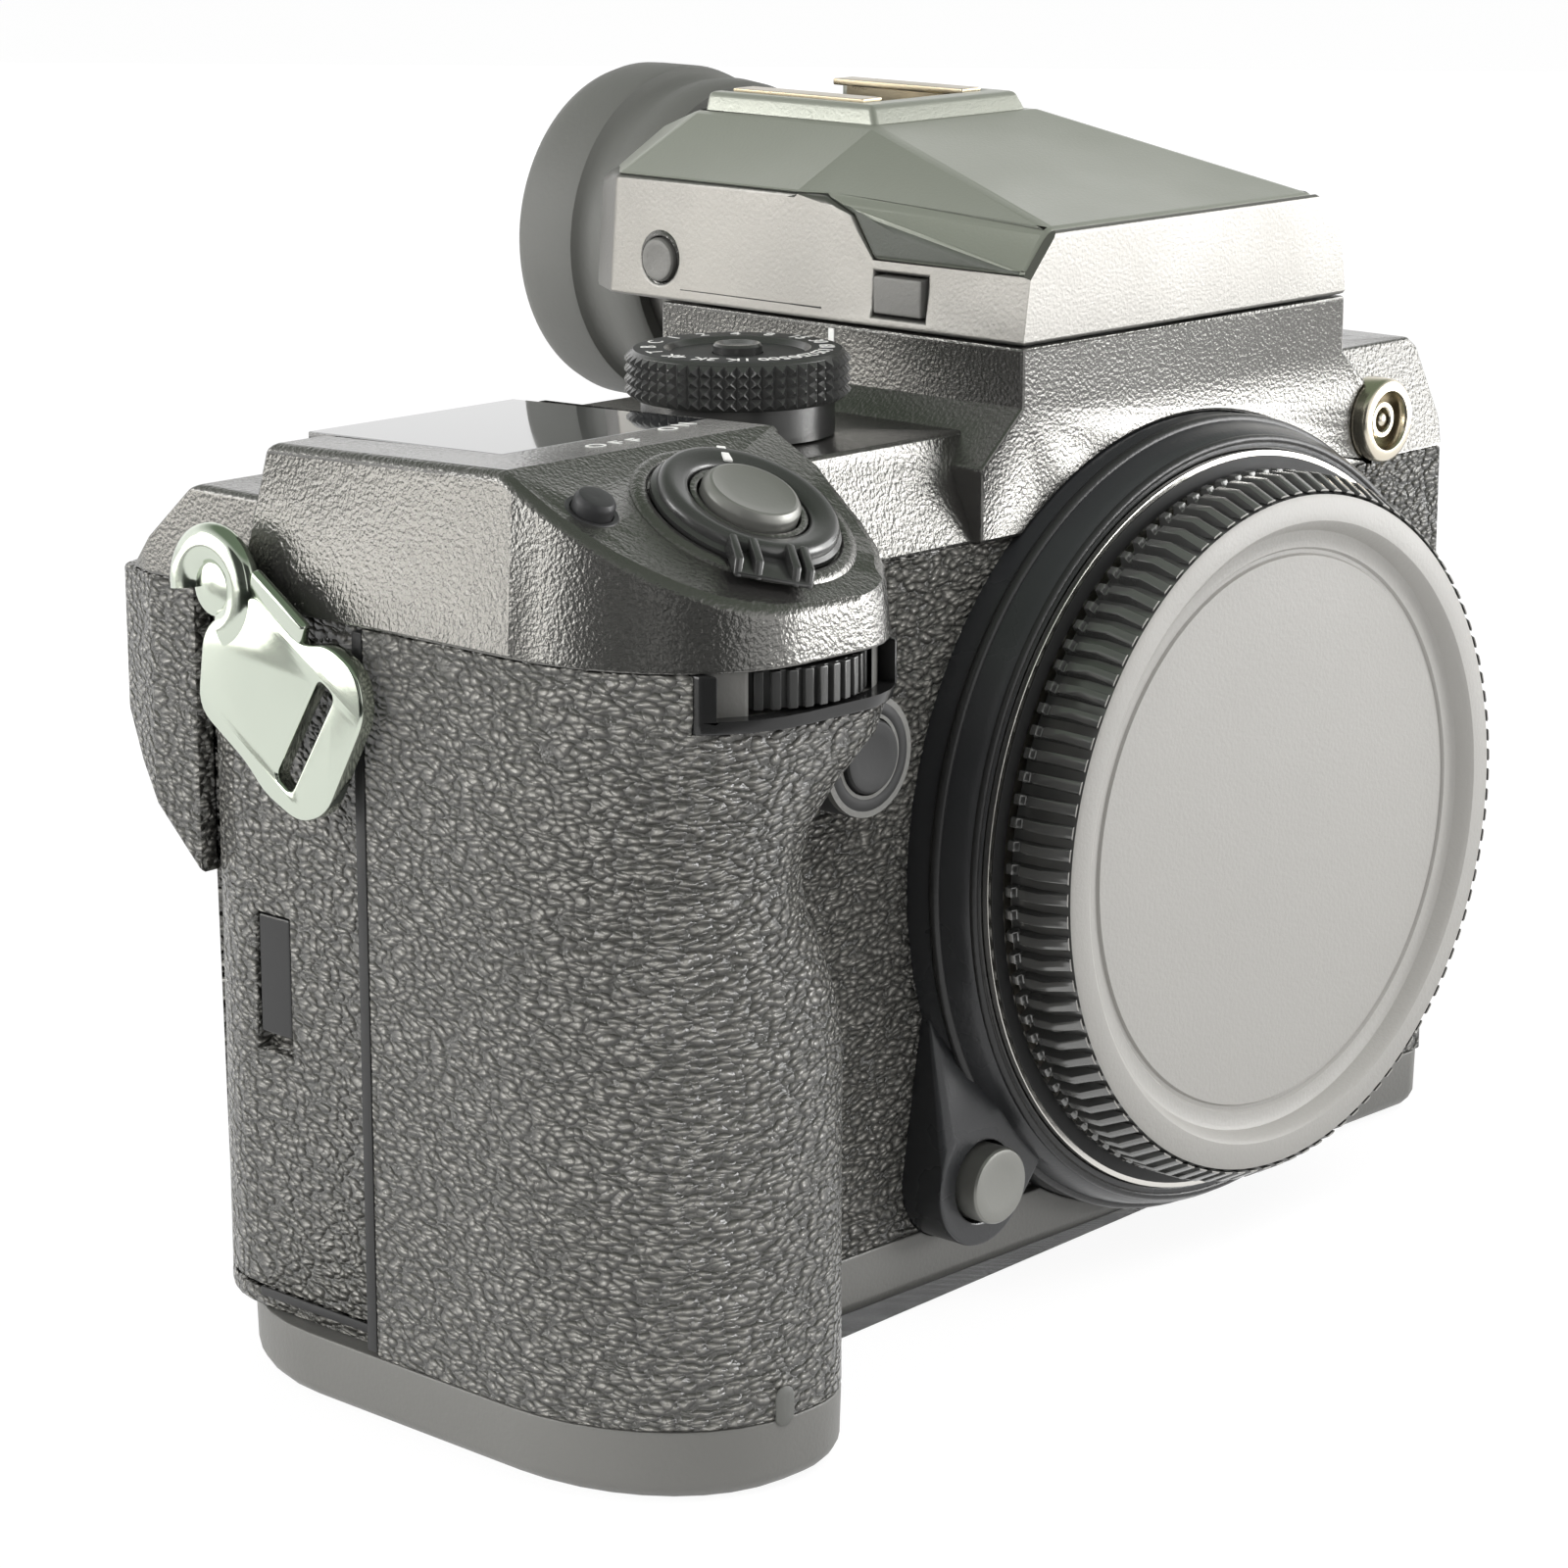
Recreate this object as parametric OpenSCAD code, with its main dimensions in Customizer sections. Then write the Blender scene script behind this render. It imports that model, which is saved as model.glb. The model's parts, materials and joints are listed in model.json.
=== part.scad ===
// Medium format digital camera: body, slide-off viewfinder, body cap and strap clip.
// Millimetres, +Z up. The origin is the mouth of the tripod socket, under the image sensor.
// Shapes are drawn from the lens flange (y = 0 there, -Y to the front) and moved to the origin
// by flange_frame(). +X is the right-hand side seen from the front.

/* [Body] */
// From the lens axis to the outer side of the grip
grip_reach = 99.5; // [97.5:0.5:103]
// From the lens axis to the right-hand side cover
right_reach = 47; // [46.8:0.1:52]
// From the flange back to the front skin
front_y = 7.5; // [7:0.1:9]
// Depth of the plain part of the body
body_depth = 43.2; // [43:0.1:45]
// From the flange to the image plane
flange_depth = 26.7; // [26:0.1:28]
// Height of the lens axis
axis_h = 43.05; // [42.7:0.05:45]
// Height of the base plate
base_h = 7; // [6:0.1:8]
// Height of the seam under the top cover
seam_h = 75.6; // [75.2:0.1:78]
// Thickness of the leather
leather_t = 1.2; // [0.9:0.1:1.4]
// Thickness of the metal covers
wall_t = 2; // [1.6:0.1:2.4]

/* [Grip] */
// How far the top of the grip stands in front of the flange
grip_top_front = 17.9; // [16.5:0.1:20]
// How far the foot of the grip stands in front of the flange
grip_foot_front = 16.6; // [15:0.1:18]
// How far the finger notch draws the front back
notch_depth = 2.6; // [0.5:0.1:3.5]
// How far the finger notch draws the inner side in
notch_side = 3.4; // [1:0.1:3.8]
// From the seam down to the middle of the finger notch
notch_drop = 22.6; // [20:0.1:25]
// From the lens axis to the inner side of the grip
grip_inner = 70.85; // [70:0.05:71.5]
// How far the inner side swells under the front dial
grip_swell = 4.8; // [4:0.1:5.2]
// Where the grip leather ends at the card door
grip_end_y = 21; // [20:0.1:21.5]
// Width of the groove between the leather and the card door
door_groove = 1.6; // [1:0.1:2]

/* [Top cover] */
// Height of the ridge behind the shutter button, over the seam
ridge_rise = 15.8; // [14.9:0.1:16.4]
// Where the ridge stands behind the flange
ridge_y = 5; // [4:0.1:6]
// Slope of the shutter platform
platform_tilt = 26; // [22:0.5:27]
// Slope of the display plateau towards the rear
plateau_tilt = 2; // [0.4:0.1:2.4]
// Rear end of the display plateau
plateau_end_y = 35; // [34.5:0.5:37]
// Height of the shoulder beside the viewfinder, over the seam
shoulder_rise = 10.2; // [9:0.1:11]
// Height of the right-hand shoulder, under the sensitivity dial, over the seam
right_shoulder_rise = 11.4; // [10.4:0.1:12]
// Height of the seat of the viewfinder, over the seam
hump_rise = 18.46; // [17.4:0.01:20]
// Half width of the seat of the viewfinder
hump_half = 26.1; // [25:0.1:27]
// Rear end of the seat of the viewfinder
hump_end_y = 56; // [54:0.5:57]
// Length and width of the upper display
sub_lcd_size = 26; // [24:0.5:26.5]

/* [Lens mount] */
// Outer radius of the bright mount ring
ring_r = 38.35; // [37.5:0.05:38.5]
// Radius of the throat
throat_r = 32.5; // [32:0.1:33]
// Thickness of the mount ring
ring_t = 3; // [2.8:0.1:3.2]
// Radius of the collar at its foot
collar_r = 41.5; // [41:0.1:42]
// Radius of the body cap
cap_r = 36.6; // [35:0.05:36.8]
// How far the cap stands in front of the flange
cap_front = 7.6; // [7:0.1:8.5]
// Radius of the sunk disc in the cap
cap_disc_r = 28.6; // [27.5:0.1:29]

/* [Viewfinder] */
// Height of the front edge of the roof, over the seat
roof_front_rise = 10.84; // [10:0.01:12]
// Height of the flat roof, over the seat
roof_rise = 18.34; // [17.4:0.01:19]
// Half width of the roof at its front edge
roof_front_half = 21.2; // [20:0.1:22]
// Half width of the flat roof
roof_half = 13; // [12.5:0.1:14]
// Where the flat roof starts
roof_y = 38; // [37:0.5:40]
// Rear end of the viewfinder housing
finder_end_y = 68.5; // [67.5:0.5:69]
// Radius of the eyecup
eyecup_r = 18.5; // [18:0.1:18.6]
// How far the viewfinder slides back on its rails
finder_travel = 45; // [20:1:60]

/* [Controls] */
// Radius of the shutter speed dial
speed_r = 11; // [10:0.1:11.4]
// Height of the top of the dials, over the seam
dial_rise = 18.64; // [17.9:0.01:19.4]
// Radius of the shutter button
shutter_r = 4.55; // [4.2:0.05:4.6]
// Outer radius of the power lever ring
lever_r = 8.4; // [8:0.1:8.6]
// Radius of the front dial
front_dial_r = 11; // [10.6:0.1:11]
// Height of the front dial
front_dial_t = 3.4; // [3:0.1:3.6]
// Ribs round the front dial
front_dial_ribs = 44; // [32:2:56]

/* [Rear display] */
// Width of the rear display
lcd_w = 84; // [78:1:86]
// Height of the rear display
lcd_h = 57; // [52:1:58]
// Thickness of the rear display
lcd_t = 8; // [7:0.1:8.2]
// Thickness of each tilting plate
lcd_plate_t = 2.2; // [2:0.1:2.4]
// How far the rear block stands behind the body
block_depth = 10; // [9:0.1:11]

/* [Doors] */
// From the seam down to the top of the card door
door_drop = 3.4; // [3:0.1:8]
// Length of the card door
door_l = 23.5; // [22:0.1:23.5]
// Thickness of the doors
door_t = 2; // [1.6:0.1:2.2]

/* [Strap clip] */
// Thickness of the clip
clip_t = 1.8; // [1.4:0.1:2]
// How far the clip hangs in front of the card door
clip_stand_off = 3; // [2.8:0.1:4]

/* [Hidden] */
$fn = 64;

// General clearances: between moving pieces, and of a running shaft
gap = 0.3;
run = 0.05;
far = 200;
eps = 0.01;

// Heights that follow the seam and the seat of the viewfinder
notch_h = seam_h - notch_drop;
ridge_h = seam_h + ridge_rise;
shoulder_h = seam_h + shoulder_rise;
right_shoulder_h = seam_h + right_shoulder_rise;
hump_h = seam_h + hump_rise;
dial_top_h = seam_h + dial_rise;
roof_front_h = hump_h + roof_front_rise;
roof_h = hump_h + roof_rise;

// Body faces
rear_y = front_y + body_depth;
plate_y = front_y + leather_t;
inner_front = plate_y + wall_t;
inner_rear = rear_y - wall_t;
side_in = right_reach - wall_t;
door_x = grip_reach - 1.7;
corner_r = 6;
rear_corner_r = 11.5;

// Grip sections
grip_corner_x = 16;
grip_corner_y = 20;
inner_corner_x = 10;
inner_corner_y = 11;
grip_levels = 17;
corner_steps = 9;

// Shutter platform: a frame on the slope, with the button in the middle of the grip
button_x = -78.3;
button_y = -5.7;
button_z = ridge_h + (button_y - ridge_y) * tan(platform_tilt);
boss_r = shutter_r + 0.18 + 0.8;
boss_h = 1.6;
lever_h = 2.0;
lever_rest = -125;
exposure_r = 1.9;
exposure_pos = [-14.6, 4.5];

// Front dial
front_dial_x = -80.4;
front_dial_y = -grip_top_front - 0.5 + front_dial_r;
front_dial_z = seam_h - 0.3 - front_dial_t;
trim_x0 = -93;
trim_x1 = -69;
trim_z = seam_h - 5.2;
trim_rim = 1.2;

// Dials on the top
speed_x = -44.9;
speed_y = 27;
iso_x = 38;
iso_y = 32;
iso_r = 8.6;
dial_rim = 4.8;
dial_shaft_r = 3.6;
dial_lock_r = 2.4;

// Viewfinder
finder_z = hump_h + 0.15;
shoe_y = 34;
finder_front = 6.7;
side_half = hump_half - 1;
side_front_h = hump_h + 0.603 * roof_front_rise;
side_h = hump_h + 0.684 * roof_rise;
barrel_r = 15.4;
eye_h = roof_h - barrel_r - 0.1;
barrel_end_y = 76;
eyecup_end_y = 86.5;

// Front controls
fn_pos = [-51.7, seam_h - 17.1];
fn_boss_r = 5.9;
fn_boss_front = 3.4;
fn_r = 3.6;
release_pos = [-35.3, 12.4];
release_boss_r = 6.6;
release_boss_front = 2.6;
release_r = 3.9;

// Rear display
block_y = rear_y + block_depth;
lcd_z0 = base_h + 0.5;
lcd_top = lcd_z0 + lcd_h;
tilt_y = block_y + gap;
drop_y = tilt_y + lcd_plate_t + gap;
lcd_y = drop_y + lcd_plate_t + gap;
hinge_r = 0.9;

// Card door and strap clip
door_z0 = base_h + 2.2;
door_h = seam_h - door_drop - door_z0;
door_y0 = grip_end_y + door_groove;
lug_y = 38;
lug_z = seam_h + 2.2;
lug_r = 1.7;
clip_x = -(door_x + clip_stand_off + clip_t);
clip_angle = 32;

// Battery, on the right-hand side
battery_x0 = 4;
battery_z0 = base_h + 4;
battery_size = [side_in - 1.6 - battery_x0, 10.4, 46];
battery_y0 = 31.9;

// Tripod socket, on the lens axis line
tripod_r = 3.175;
tripod_depth = 5.5;

// Moves the flange's frame to the part's origin
module flange_frame() { translate([0, -flange_depth, 0]) children(); }

// Cylinders along Y and X, given by both ends
module ycyl(x, z, y0, y1, r) {
  translate([x, y1, z]) rotate([90, 0, 0]) cylinder(h = y1 - y0, r = r);
}
module xcyl(y, z, x0, x1, r) {
  translate([x0, y, z]) rotate([0, 90, 0]) cylinder(h = x1 - x0, r = r);
}

// A box given by its two corners
module box(a, b) { translate(a) cube(b - a); }

// Everything above a plane that tilts about X through a point
module above(y, z, tilt) {
  translate([-far, y, z]) rotate([tilt, 0, 0]) translate([0, -far, 0]) cube([2 * far, 2 * far, far]);
}

// A solid through a list of rings, each a list of points, counter-clockwise from above. Twisted
// sides fold along one diagonal, and along the other one from a given point of the rings on.
module loft(rings, other = 99) {
  n = len(rings[0]);
  last = len(rings) - 1;
  sides = [for (k = [0:last - 1], i = [0:n - 1], t = [0, 1])
    let (a = k * n + i, b = a + n, d = k * n + (i + 1) % n, c = d + n)
    i < other ? (t == 0 ? [a, b, c] : [a, c, d]) : (t == 0 ? [a, b, d] : [b, c, d])];
  foot = [[for (i = [0:n - 1]) i]];
  head = [[for (i = [n - 1:-1:0]) last * n + i]];
  polyhedron(points = [for (r = rings, p = r) p], faces = concat(foot, sides, head), convexity = 6);
}

// A quarter ellipse from angle a to a + 90
function quarter(cx, cy, rx, ry, a) =
  [for (i = [0:corner_steps]) [cx + rx * cos(a + 90 * i / corner_steps),
                               cy + ry * sin(a + 90 * i / corner_steps)]];

// Nose of the grip in plan: outer corner and inner corner, drawn in by d
function grip_nose(left, inner, front, d, ix, iy) =
  let (jx = min(ix, inner - left - grip_corner_x - 0.3)) concat(
    quarter(left + grip_corner_x, front + grip_corner_y, grip_corner_x - d, grip_corner_y - d, 180),
    quarter(inner - jx, front + iy, jx - d, iy - d, 270));

// Plan outline of the grip: left side, rounded nose, inner side, square at the rear
function grip_outline(left, inner, front, back, d, ix = inner_corner_x, iy = inner_corner_y) =
  concat([[left + d, back]], grip_nose(left, inner, front, d, ix, iy), [[inner - d, back]]);

// A smooth bump of height 1 round the middle m, w wide each way
function bump(z, m, w) = abs(z - m) >= w ? 0 : (1 + cos(180 * (z - m) / w)) / 2;
function smooth(t) = t <= 0 ? 0 : t >= 1 ? 1 : t * t * (3 - 2 * t);

// Front and inner side of the grip at a height
function grip_front_at(z) =
  -grip_foot_front - (grip_top_front - grip_foot_front) * smooth((z - seam_h + 15.6) / 12)
  + notch_depth * bump(z, notch_h, 15);
function grip_inner_at(z) =
  -grip_inner + grip_swell * smooth((z - notch_h - 6) / 11.5) - notch_side * bump(z, notch_h + 4.5, 14);

function grip_ring(z, d, back, lift = 0) =
  [for (p = grip_outline(-grip_reach, grip_inner_at(z), grip_front_at(z), back, d)) [p[0], p[1], z + lift]];

// The grip from the base to the seam, drawn in by d, square at y = back, longer by over at both ends
module grip_form(d, back, over = 0) {
  step = (seam_h - base_h) / grip_levels;
  loft(concat(
    over > 0 ? [grip_ring(base_h, d, back, -over)] : [],
    [for (k = [0:grip_levels]) grip_ring(base_h + step * k, d, back)],
    over > 0 ? [grip_ring(seam_h, d, back, over)] : []));
}

// Rounded plan outline of the plain body: rf at the front, rl at the rear left, r at the rear right
function body_outline(x0, x1, y0, y1, r, rl, rf) = concat(
  quarter(x0 + rf, y0 + rf, rf, rf, 180), quarter(x1 - rf, y0 + rf, rf, rf, 270),
  quarter(x1 - r, y1 - r, r, r, 0), quarter(x0 + rl, y1 - rl, rl, rl, 90));

// The plain body between two heights, drawn in by d
module body_form(z0, z1, d) {
  loft([for (z = [z0, z1]) [for (p = body_outline(-door_x + d, right_reach - d, front_y + d, rear_y - d,
    corner_r - d, rear_corner_r - d, corner_r - d)) [p[0], p[1], z]]]);
}

// A wheel with square ribs, standing on z = 0
module ribbed_wheel(r, h, ribs, depth) {
  step = 360 / ribs;
  linear_extrude(h) polygon([for (i = [0:ribs - 1], c = [[0, 0], [0.55, 0], [0.6, depth], [0.95, depth]])
    [(r - c[1]) * cos((i + c[0]) * step), (r - c[1]) * sin((i + c[0]) * step)]]);
}

// Frame on the shutter platform: z along the normal of the slope
module on_platform() {
  translate([button_x, button_y, button_z]) rotate([platform_tilt, 0, 0]) children();
}

// Frame on the display plateau, at the ridge
module on_plateau() { translate([0, ridge_y, ridge_h]) rotate([-plateau_tilt, 0, 0]) children(); }

// Front view outline of the viewfinder's seat, drawn in by d
hump_foot = seam_h + 7.3;
hump_neck = seam_h + 12.6;
module hump_profile(d) {
  polygon([[-hump_half - 6 + d, seam_h], [-hump_half - 6 + d, hump_foot], [-hump_half + d, hump_neck - d / 2],
           [-hump_half + d, hump_h - d], [hump_half - d, hump_h - d], [hump_half - d, hump_neck - d / 2],
           [hump_half + 6 - d, hump_foot], [hump_half + 6 - d, seam_h]]);
}

// Draft of the grip's top, its inner corner, and the rear shoulder over the thumb rest
top_draft = 2.2;
top_corner = [13, 22];
rear_shoulder_h = seam_h + 9.4;
thumb_y = 62.8;

// Plan of the rear shoulder and the thumb rest, with a blunt corner, drawn in by d
module thumb_plan(d) {
  polygon([[-grip_reach + 3 + d, 30], [-grip_reach + 3 + d, 54], [-grip_reach + 5.2 + d, thumb_y - 2.2 - d],
           [-grip_reach + 11 + d, thumb_y - d], [-58 - d, thumb_y - d], [-58 - d, 30]]);
}

// Outside form of the top cover, drawn in by d
module top_form(d) {
  z0 = seam_h;
  // Shutter platform and display plateau over the grip
  difference() {
    loft([
      [for (p = grip_outline(-grip_reach, grip_inner_at(z0), -grip_top_front, plateau_end_y + 3 - d, d))
        [p[0], p[1], z0]],
      [for (p = grip_outline(-grip_reach + top_draft, grip_inner_at(z0) + 3, -grip_top_front + 1.4,
          plateau_end_y - d, d, top_corner[0], top_corner[1])) [p[0], p[1], ridge_h + 1]]]);
    above(ridge_y, ridge_h - d, platform_tilt);
    above(ridge_y, ridge_h - d, -plateau_tilt);
  }
  // Rear shoulder over the thumb rest
  difference() {
    translate([0, 0, z0]) linear_extrude(rear_shoulder_h - d - z0) thumb_plan(d);
    above(47.4, rear_shoulder_h - d * 1.3, -40.5);
  }
  // Shoulders on both sides of the viewfinder
  difference() {
    union() {
      box([-72 + d, front_y + d, z0], [0, rear_y - d, shoulder_h - d]);
      box([-1, front_y + d, z0], [right_reach - d, rear_y - d, right_shoulder_h - d]);
    }
    above(front_y, seam_h - d, 66);
    translate([right_reach, 0, right_shoulder_h - d]) rotate([0, 45, 0])
      cube([1.6, 2 * far, 1.6], center = true);
    translate([right_reach - d, front_y + d, 0]) rotate([0, 0, 45]) cube([2, 2, 2 * far], center = true);
  }
  // Seat of the viewfinder
  translate([0, hump_end_y - d, 0]) rotate([90, 0, 0])
    linear_extrude(hump_end_y - finder_front - 2 * d) hump_profile(d);
}

module front_cover() {
  color("#2b2b2b") flange_frame() difference() {
    union() {
      grip_form(leather_t, grip_end_y);
      box([-grip_inner - 9, plate_y, base_h], [side_in, inner_front, seam_h]);
      ycyl(fn_pos[0], fn_pos[1], fn_boss_front, plate_y + 1, fn_boss_r);
    }
    difference() {
      grip_form(leather_t + wall_t, far, 1);
      box([front_dial_x - 14, front_dial_y - 14, front_dial_z - 2.4],
          [front_dial_x + 14, front_dial_y + 14, front_dial_z - 0.5]);
      translate([front_dial_x, front_dial_y, front_dial_z - 1]) cylinder(h = front_dial_t + 1.2, r = 2);
    }
    box([-grip_inner - 20, inner_front + 0.2, base_h - 1], [-grip_inner + 7, far, seam_h + 1]);
    translate([front_dial_x, front_dial_y, front_dial_z - 0.4]) difference() {
      cylinder(h = 20, r = front_dial_r + 0.4);
      translate([0, 0, -1]) cylinder(h = 30, r = 2.3);
    }
    ycyl(0, axis_h, 0, far, 36);
    ycyl(fn_pos[0], fn_pos[1], 0, inner_front + 1, 1.5);
    ycyl(fn_pos[0], fn_pos[1], 0, fn_boss_front + 3.4, fn_r + 0.2);
    ycyl(release_pos[0], release_pos[1], 0, far, release_r + 0.25);
  }
}

module grip_leather() {
  color("#3a3a3a") flange_frame() difference() {
    grip_form(0, grip_end_y);
    grip_form(leather_t, far, 1);
    box([-grip_inner - 14, plate_y, 0], [0, far, far]);
    box([trim_x0, -far, trim_z], [trim_x1, 0, far]);
    ycyl(fn_pos[0], fn_pos[1], -far, far, fn_boss_r);
  }
}

// Frame round the front dial's window, standing a little proud of the leather
module dial_trim() {
  color("#454545") flange_frame() difference() {
    intersection() {
      grip_form(-0.5, grip_end_y);
      box([trim_x0, -far, trim_z], [trim_x1, 0, seam_h]);
    }
    grip_form(leather_t, far, 1);
    box([trim_x0 + trim_rim, -far, trim_z + trim_rim], [trim_x1 - trim_rim, 0, far]);
    box([trim_x0 - 1, -grip_top_front + 9, trim_z - 1], [trim_x0 + 6, 1, far]);
    translate([front_dial_x, front_dial_y, front_dial_z - 0.3])
      cylinder(h = front_dial_t + 1, r = front_dial_r + gap);
  }
}

module front_leather() {
  color("#3a3a3a") flange_frame() difference() {
    box([-grip_inner - 9, front_y, base_h], [right_reach - 1.5, plate_y, seam_h]);
    grip_form(0, far, 1);
    ycyl(0, axis_h, 0, far, collar_r);
    release_boss(far, 0);
    box([release_pos[0], 0, 0], [0, far, release_pos[1]]);
    ycyl(fn_pos[0], fn_pos[1], 0, far, fn_boss_r);
  }
}

// Solid of the lens release's boss: round, with a ramp towards the mount
module release_boss(back, grow) {
  hull() {
    ycyl(release_pos[0], release_pos[1], release_boss_front, back, release_boss_r + grow);
    ycyl(release_pos[0] - 2.5, release_pos[1] + 16, front_y - 0.8, back, 1.5 + grow);
    ycyl(release_pos[0] + 8, release_pos[1] + 4, release_boss_front, back, 3 + grow);
  }
}

module top_cover() {
  color("#303030") flange_frame() difference() {
    union() {
      difference() {
        top_form(0);
        translate([0, 0, -eps]) top_form(wall_t);
        ycyl(0, axis_h, -far, plate_y, collar_r + 0.05);
      }
      intersection() {
        top_form(0);
        union() {
          on_platform() translate([0, 0, -5]) cylinder(h = 5, r = boss_r + 1.5);
          on_platform() translate([exposure_pos[0], exposure_pos[1], -4]) cylinder(h = 4, r = 3);
          translate([speed_x, speed_y, seam_h + 4]) cylinder(h = 20, r = 6);
          translate([iso_x, iso_y, seam_h + 4]) cylinder(h = 20, r = 6);
          box([-12, shoe_y - 3, hump_h - 6], [12, far, far]);
        }
      }
      on_platform() translate([0, 0, -1]) cylinder(h = 1 + boss_h, r = boss_r);
    }
    // Holes of the shutter button and the exposure button
    on_platform() translate([0, 0, -1.6]) cylinder(h = far, r = shutter_r + 0.18);
    on_platform() translate([0, 0, -20]) cylinder(h = 40, r = 1.6);
    on_platform() translate([exposure_pos[0], exposure_pos[1], -2]) cylinder(h = 9, r = exposure_r + 0.15);
    // Shaft holes of the dials
    translate([speed_x, speed_y, seam_h]) cylinder(h = far, r = dial_shaft_r + run);
    translate([iso_x, iso_y, seam_h]) cylinder(h = far, r = dial_shaft_r + run);
    drive_hole();
    // Seat of the upper display
    on_plateau() sub_lcd_plate(0, 0.9);
    // Hole of the sync terminal
    ycyl(sync_x, sync_z, 0, 20, 3.4);
    // Slot that takes the viewfinder's foot, open to the rear
    finder_foot(far, 0.2);
    // Seats of the sync terminal and the strap lugs
    ycyl(sync_x, sync_z, 0, 8, 4.5);
    xcyl(lug_y, lug_z, -far, far, lug_r);
  }
}

// Foot of the viewfinder, a T in section, from shoe_y to the given end, grown by d
module finder_foot(end_y, d) {
  box([-6 - d, shoe_y - d, hump_h - 2], [6 + d, end_y, finder_z + 0.5]);
  box([-9 - d, shoe_y - d, hump_h - 3.2 - d], [9 + d, end_y, hump_h - 1.7 + d]);
}

// The sync terminal stands clear of the collar
sync_gap = 7.794;
sync_z = seam_h + 4.6;
sync_x = sqrt(pow(collar_r + sync_gap, 2) - pow(sync_z - axis_h, 2));
drive_pos = [iso_x, iso_y - 13];
module drive_hole() {
  translate([drive_pos[0], drive_pos[1], right_shoulder_h - 1.2]) cylinder(h = 9, r = 2.2);
}

// Plate of the upper display in the plateau's frame, grown by d
module sub_lcd_plate(d, depth) {
  translate([button_x + 0.8 - sub_lcd_size / 2 - d, 7 - d, -depth])
    cube([sub_lcd_size + 2 * d, sub_lcd_size + 2 * d, depth + (d == 0 ? 1 : 0)]);
}

module sub_lcd_glass() {
  color("#101416") flange_frame() on_plateau()
    translate([button_x + 0.8 - sub_lcd_size / 2 + 0.05, 7.05, -0.9])
      cube([sub_lcd_size - 0.1, sub_lcd_size - 0.1, 0.9]);
}

// Thumb rest: a swelling on the rear that runs out downwards
module thumb_rest(d) {
  intersection() {
    translate([-far, 0, 0]) rotate([90, 0, 90]) linear_extrude(2 * far) polygon([
      [inner_rear - 1, seam_h - 28.1], [rear_y - d, seam_h - 25.4 + d], [rear_y + 3.3 - d, seam_h - 22.4 + d],
      [rear_y + 6.9 - d, seam_h - 18.8 + d], [thumb_y - 2 - d, seam_h - 14], [thumb_y - d, seam_h - 8.6],
      [thumb_y - d, seam_h], [inner_rear - 1, seam_h]]);
    translate([0, 0, seam_h - 40]) linear_extrude(40) thumb_plan(d);
  }
}

module rear_cover() {
  color("#2e2e2e") flange_frame() difference() {
    union() {
      difference() {
        union() {
          // Rear and left-hand wall, open to the front, with the card door's opening
          difference() {
            body_form(base_h, seam_h, 0);
            difference() {
              body_form(base_h - 1, seam_h + 1, wall_t);
              box([-far, inner_rear, 0], [far, far, far]);
            }
            box([-far, -far, 0], [far, grip_end_y, far]);
            box([side_in - eps, -far, 0], [far, rear_y - corner_r, far]);
            box([-far, door_y0 - 0.3, door_z0 - 0.3], [-80, door_y0 + door_l + 0.5, door_z0 + door_h + 0.3]);
          }
          thumb_rest(0);
          box([-lcd_w / 2 - 2, rear_y - 1, base_h], [lcd_w / 2 + 2, block_y, lcd_top - 1.5]);
        }
        thumb_rest(wall_t);
        box([-lcd_w / 2, inner_rear - eps, base_h + wall_t], [lcd_w / 2, block_y - wall_t, lcd_top - 3.5]);
        // Slot of the rear dial
        translate([rear_dial_pos[0], rear_dial_pos[1], rear_dial_pos[2] - 0.3])
          cylinder(h = rear_dial_t + 0.6, r = rear_dial_r + 0.5);
      }
      // Floor and axle of the rear dial
      intersection() {
        thumb_rest(0.5);
        box([-far, inner_rear, rear_dial_pos[2] - 2.3], [far, far, rear_dial_pos[2] - 0.3]);
      }
      translate([rear_dial_pos[0], rear_dial_pos[1], rear_dial_pos[2] - 1])
        cylinder(h = rear_dial_t + 1.5, r = 1.6);
    }
    // Pockets of the stick, the pad and the buttons
    ycyl(stick_pos[0], stick_pos[1], rear_y - 1.6, far, 3.4);
    ycyl(pad_pos[0], pad_pos[1], rear_y - 1.2, far, pad_r + 0.25);
    ycyl(play_pos[0], play_pos[1], rear_y - 1.2, far, 2.7);
    ycyl(af_pos[0], af_pos[1], thumb_y - 5, far, 3.2);
  }
}

rear_dial_r = 8.5;
rear_dial_t = 3.6;
rear_dial_pos = [-72, rear_y + 4.9, seam_h - 6.6];
stick_pos = [-52.5, seam_h - 18.6];
pad_r = 7.6;
pad_pos = [-64, 30];
play_pos = [-52, seam_h - 5.6];
af_pos = [-86, seam_h - 13.6];

module side_cover() {
  color("#2e2e2e") flange_frame() difference() {
    box([side_in, plate_y, base_h], [right_reach, rear_y - corner_r, seam_h]);
    // Vertical front edge, cut to a chamfer
    translate([right_reach, plate_y, 0]) rotate([0, 0, 45]) cube([1.8, 1.8, far], center = true);
    battery_door_form(0.3);
    port_door_form(0.3);
  }
}

// The battery door and the port door sink into the side cover
module battery_door_form(d) {
  box([side_in - 1, battery_y0 - 1 - d, battery_z0 - 1 - d],
      [right_reach + (d > 0 ? 1 : 0), battery_y0 + 11.4 + d, battery_z0 + battery_size[2] + 1 + d]);
}
module port_door_form(d) {
  box([side_in + 0.6 - (d > 0 ? 2 : 0), plate_y + 3 - d, base_h + 8 - d],
      [right_reach + (d > 0 ? 1 : 0), battery_y0 - 3 + d, seam_h - 8 + d]);
}

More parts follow.
